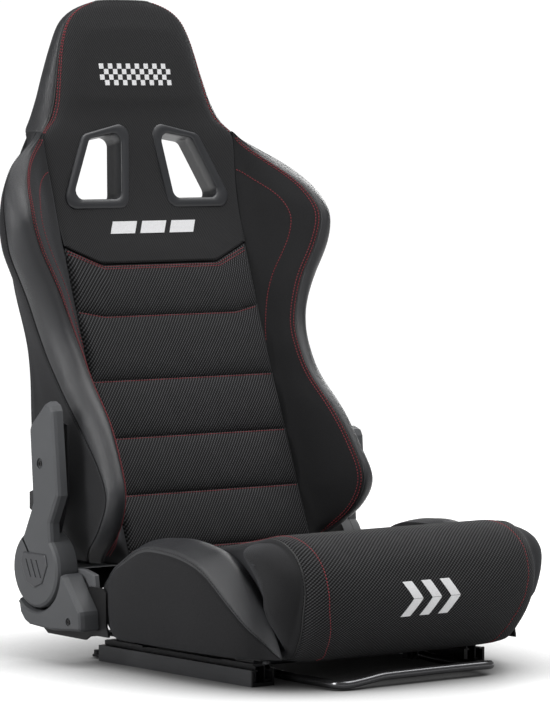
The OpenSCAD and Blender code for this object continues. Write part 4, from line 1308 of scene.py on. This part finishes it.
def shell(name, outline, layers, mat, side):
    """Solid built from an outline in y, z: layers are (x, inset) from the inside out."""
    o = np.asarray(outline, float)
    after = np.roll(o, -1, axis=0)
    if (o[:, 0] * after[:, 1] - after[:, 0] * o[:, 1]).sum() < 0:
        o = o[::-1]
    n = len(o)
    verts = []
    for x, d in layers:
        q = inset(o, d) if d else o
        verts += [(side * x * MM, p[0] * MM, p[1] * MM) for p in q]
    faces = side_faces(n, len(layers))
    faces.append(tuple(range(n)))
    faces.append(tuple((len(layers) - 1) * n + i for i in range(n)))
    ob = link(name, verts, faces, [mat], smooth=False)
    face_out(ob)
    return ob


def bevel(ob, width, segments=3, angle=25):
    """Rounded edges, left as a modifier."""
    m = ob.modifiers.new("Edge", "BEVEL")
    m.width = width
    m.segments = segments
    m.limit_method = "ANGLE"
    m.angle_limit = math.radians(angle)
    m.harden_normals = True
    m.use_clamp_overlap = True


def shade(ob):
    """Smooth shading with sharp edges where faces meet at more than SHARP degrees."""
    me = ob.data
    me.polygons.foreach_set("use_smooth", np.full(len(me.polygons), True))
    me.set_sharp_from_angle(angle=math.radians(SHARP))


def disc(name, y, z, r, x0, x1, side, n=48):
    pts = circle((y, z), r, 0, 360, n)[:-1]
    return shell(name, pts, [(x0, 0), (x1, 0)], "cover", side)


def screw_post(name, side, y, z, r, body):
    """The raised seat of a screw inside its recess."""
    post = disc(name, y, z, r - 1.8, 264.5, 269.9, side)
    bevel(post, 0.0006, 2)
    shade(post)
    settle(post, body, "cover_grey")


# the covers share the foot and rear of the blade and of its pocket; the right one's blade is longer
BLADE_FOOT = [[190, 192], [170, 231]]
BLADE_REAR = [[232, 217], [252, 172]]
LONG_BLADE = [[181, 346], [185.5, 354], [196, 358.5], [203, 355.5], [236, 325], [239, 318]]
SHORT_BLADE = [[174, 288], [179, 297], [190, 301], [198, 298], [231, 283], [235, 276]]
POCKET_FOOT = [[195, 196], [176, 232]]
POCKET_REAR = [[227, 218], [240, 180]]
LONG_POCKET = [[187, 345], [197, 351], [233, 317]]
SHORT_POCKET = [[180, 287], [190, 294], [229, 276]]
HOLLOW = [[160, 112], [127, 72], [126, 58], [190, 52], [237, 55], [252, 66], [256, 72], [240, 64],
          [215, 62], [190, 72], [170, 92]]
BASE_EDGE = [[163, 124.5], [156, 121.5], [120, 77], [118.6, 72], [117.5, 53], [121, 49.5], [190, 45],
             [240, 48], [252, 53], [262, 64], [265, 78]]
BACK_SCREW_R, BASE_SCREW_R = 7.2, 5.6


def upper_cover(side, name):
    """Hinge cover on the backrest: a deep round housing and a thinner blade."""
    blade, pocket, screw = (LONG_BLADE, LONG_POCKET, 273) if side < 0 else (SHORT_BLADE, SHORT_POCKET, 250)
    outline = BLADE_FOOT + blade + BLADE_REAR + circle(PIVOT, 54, 60, -227, 72)
    layers = [(254, 0), (264.5, 0), (268.6, 1.6), (271, 5.0)]
    ob = shell("hinge_cover_" + name, outline, layers, "cover", side)
    wall = circle(PIVOT, 53.6, 0, 360, 96)[:-1]
    house = shell("hinge_housing_" + name, wall, [(236.5, 0), (263, 0)], "cover", side)
    cut(house, shell("bore", circle(PIVOT, 49, 0, 360, 48)[:-1], [(230, 0), (262, 0)], "cover", side))
    cut(ob, shell("pocket", POCKET_FOOT + pocket + POCKET_REAR, [(250, 0), (265, 0)], "cover", side))
    cut(ob, disc("recess", 212, screw, BACK_SCREW_R, 268.8, 280, side))
    bevel(ob, 0.0008, 2)
    shade(house)
    screw_post("hinge_cover_post_" + name, side, 212, screw, BACK_SCREW_R, "backrest")
    for o in (ob, house):
        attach(o, "backrest")
    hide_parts("recliner_back_cover_" + name)


def lower_cover(side, name):
    """Hinge cover on the seat base, cut out round the housing."""
    outline = BASE_EDGE + circle(PIVOT, 57.5, -47, -176, 36)
    layers = [(240.3, 0), (263, 0), (268.6, 1.6), (271, 4.0)]
    ob = shell("base_cover_" + name, outline, layers, "cover", side)
    cut(ob, shell("hollow", HOLLOW, [(236, 0), (262, 0)], "cover", side))
    cut(ob, disc("recess", 146, 61, BASE_SCREW_R, 268.8, 280, side))
    bevel(ob, 0.0008, 2)
    screw_post("base_cover_post_" + name, side, 146, 61, BASE_SCREW_R, "seat_base")
    settle(ob, "seat_base", "cover_grey", "recliner_base_cover_" + name)


for side, name in ((1, "left"), (-1, "right")):
    upper_cover(side, name)
    lower_cover(side, name)


def badge(side, name):
    """Plain badge on the hinge, with three slanted slits."""
    corners = [[-27, 20], [-31, 5], [-19, -20], [0, -28], [19, -20], [31, 5], [27, 20]]
    y, z = PIVOT
    outline = rounded(np.array(corners, float), 5) + np.array([y, z + 2])
    ob = shell("hinge_badge_" + name, outline, [(270.2, 0), (272.2, 0), (273, 1.6)], "badge", side)
    for s in (-12, 0, 12):
        slit = [[y + s - 7, z - 11], [y + s - 4, z - 11], [y + s + 7, z + 13], [y + s + 4, z + 13]]
        cut(ob, shell("slit", np.array(slit), [(271.8, 0), (280, 0)], "badge", side))
    bevel(ob, 0.0004, 2)
    settle(ob, "backrest", "badge_grey", "hinge_badges")


badge(1, "left")
badge(-1, "right")

# the grip of the recline lever, with a notched edge
GRIP = [[199, 101], [199, 131], [158, 129.5], [134, 124], [131, 104], [138, 99], [168, 98.5]]
grip_layers = [(227.2, 1.2), (228.4, 0), (234.4, 0), (235.6, 1.2)]
grip = shell("recline_grip", rounded(np.array(GRIP, float), 2.5, 4), grip_layers, "grip", -1)
for k in range(5):
    cut(grip, disc("notch", 138 + k * 4.6, 98.4, 1.5, 220, 240, -1, n=16))
bevel(grip, 0.0006, 2)
settle(grip, "recline_lever", "cover_grey", "lever_grip")

# ---- handle bar as one bent tube
BAR_STEP = 0.003
BAR = [[-134, -112, 12], [-134, -150, 9], [-134, -235, 8], [-134, -258, 8], [-130, -269, 8],
       [-120, -274, 8.6], [-95, -274, 11], [-75, -274, 13.6], [-58, -274, 15], [0, -274, 15.4],
       [62, -274, 15.5], [105, -274, 15.2], [122, -272.5, 14.4], [131.5, -264, 13], [134, -250, 11],
       [134, -232, 9], [134, -150, 9], [134, -112, 12]]
bar_path = spline(np.array(BAR, float) * MM, np.linspace(0, len(BAR) - 1.001, 400))
bar_path = fade(resample(bar_path, BAR_STEP), 2)
bar = tube("slide_bar_tube", bar_path, 0.0060, "bar", "slide_handle", sides=24, step=BAR_STEP)
END_BLOCK = np.array([[-118, 5.7], [-118, 18.3], [-90.3, 18.3], [-90.3, 5.7]])
block_layers = [(127.6, 1), (128.4, 0), (139.6, 0), (140.4, 1)]
for side, name in ((1, "left"), (-1, "right")):
    end = shell("slide_bar_block_" + name, rounded(END_BLOCK, 2), block_layers, "bar", side)
    bevel(end, 0.0005, 2)
    settle(end, "slide_handle", "bar_black")
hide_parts("slide_bar")

# ---- CAD nodes: the material of each node that shows as it is
SHOWN = {
    "rail": ["lower_rail_left", "lower_rail_right", "riser_bolts"],
    "rail_dark": ["rail_rear_tabs", "upper_rail_left", "upper_rail_right", "front_risers", "rear_risers",
                  "seat_side_bars", "base_cross_tubes", "cushion_pan", "handle_brackets", "back_frame",
                  "recliner_arm_left", "recliner_arm_right", "recline_lever"],
    # the lower recliner plates take the black coat as painted shade for the shadow they sit in; the caps and
    # screws are black
    "black": ["rail_end_caps", "recliner_lower_plate_left", "recliner_lower_plate_right",
              "base_cover_screws", "back_cover_screws"],
    "glide": ["rail_glides"],
    "zinc": ["lumbar_wires", "recline_rod", "slide_latches"],
}
# the material of a replaced node by its slot in the record; the rest are plastic
REPLACED = {"fabric_black": "cloth", "leather_black": "leather", "mesh_black": "mesh"}


def coat(ob, mat):
    ob.data.materials.clear()
    ob.data.materials.append(MAT[mat])


for mat, names in SHOWN.items():
    for name in names:
        ob = NODES[name]
        coat(ob, mat)
        d = ob.modifiers.new("Flat", "DECIMATE")
        d.decimate_type = "DISSOLVE"
        d.angle_limit = math.radians(1)
        bevel(ob, 0.0005, 2, 30)
shown = set(sum(SHOWN.values(), []))
for part in frame["record"]["subparts"]:
    if part["node"] not in shown:
        coat(NODES[part["node"]], REPLACED.get(part["material_slot"], "cover"))

# ---- floor, light and camera
WHITE = (1, 1, 1, 1)
floor_mat, ft, fb = new_material("floor_pale")
# painted shadow: the floor's colour and its glow darken with ambient occlusion close under the seat
painted_shadow_ao = nd(ft, "ShaderNodeAmbientOcclusion", Distance=0.30)
painted_shadow_ao.samples = 12
open_sky = math_node(ft, "POWER", painted_shadow_ao.outputs["AO"], 1.5)
ft.links.new(ramp(ft, open_sky, [(0, 0.02), (1, 0.72)]), fb.inputs["Base Color"])
fb.inputs["Roughness"].default_value = 0.6
fb.inputs["Specular IOR Level"].default_value = 0.2
fb.inputs["Emission Color"].default_value = WHITE
floor_seen = nd(ft, "ShaderNodeLightPath")
# the camera-only glow keeps the floor white away from the seat and carries the same painted shadow
glow = mul(ft, floor_seen.outputs["Is Camera Ray"], open_sky)
ft.links.new(mul(ft, glow, 0.43), fb.inputs["Emission Strength"])
bpy.ops.mesh.primitive_plane_add(size=40, location=(0, 0, 0))
floor = bpy.context.object
floor.name = "floor"
floor.data.materials.append(floor_mat)

# a dim white world, which the camera sees brighter
world = bpy.data.worlds.new("studio")
bpy.context.scene.world = world
world.use_nodes = True
wt = world.node_tree
dim = wt.nodes["Background"]
dim.inputs["Color"].default_value = WHITE
dim.inputs["Strength"].default_value = 0.24
seen_white = nd(wt, "ShaderNodeBackground", Color=WHITE, Strength=1.05)
path = wt.nodes.new("ShaderNodeLightPath")
pick = wt.nodes.new("ShaderNodeMixShader")
wt.links.new(path.outputs["Is Camera Ray"], pick.inputs[0])
wt.links.new(dim.outputs[0], pick.inputs[1])
wt.links.new(seen_white.outputs[0], pick.inputs[2])
wt.links.new(pick.outputs[0], wt.nodes["World Output"].inputs[0])


def look_along(ob, direction):
    ob.rotation_euler = direction.to_track_quat("-Z", "Y").to_euler()


def area(name, loc, target, size, power, size_y=None):
    """Area light at loc facing target; size_y makes it a rectangle."""
    lamp = bpy.data.lights.new(name, "AREA")
    lamp.energy = power
    lamp.size = size
    if size_y:
        lamp.shape = "RECTANGLE"
        lamp.size_y = size_y
    o = place(name, lamp)
    o.location = loc
    look_along(o, Vector(target) - Vector(loc))


area("top_light", (-0.6, -0.6, 3.2), (0, 0, 0.7), 2.0, 20)
area("left_light", (-3.0, 0.5, 1.8), (0, 0.1, 0.5), 0.9, 81, 2.2)
area("right_light", (2.6, 1.6, 2.0), (0, 0.1, 0.6), 0.8, 42, 2.2)
area("front_light", (0.5, -1.9, 2.7), (0, 0.3, 0.9), 1.2, 9)
sun = bpy.data.lights.new("sky_light", "SUN")
sun.energy = 2.3
sun.angle = math.radians(50)
place("sky_light", sun).rotation_euler = (math.radians(14), math.radians(22), 0)

FILM = 36
FOCAL_BY_HEIGHT = 4400 / 714
az, el = math.radians(-38.0), math.radians(3.5)
cam = bpy.data.cameras.new("camera")
cam_ob = place("camera", cam)
cam_ob.location = (-3.7098, -4.7123, 0.7857)
look_along(cam_ob, Vector((-math.sin(az) * math.cos(el), math.cos(az) * math.cos(el), -math.sin(el))))
cam.sensor_width = FILM
cam.lens = FILM * FOCAL_BY_HEIGHT
cam.clip_end = 100
bpy.context.scene.camera = cam_ob
bpy.context.scene.view_settings.view_transform = "Standard"
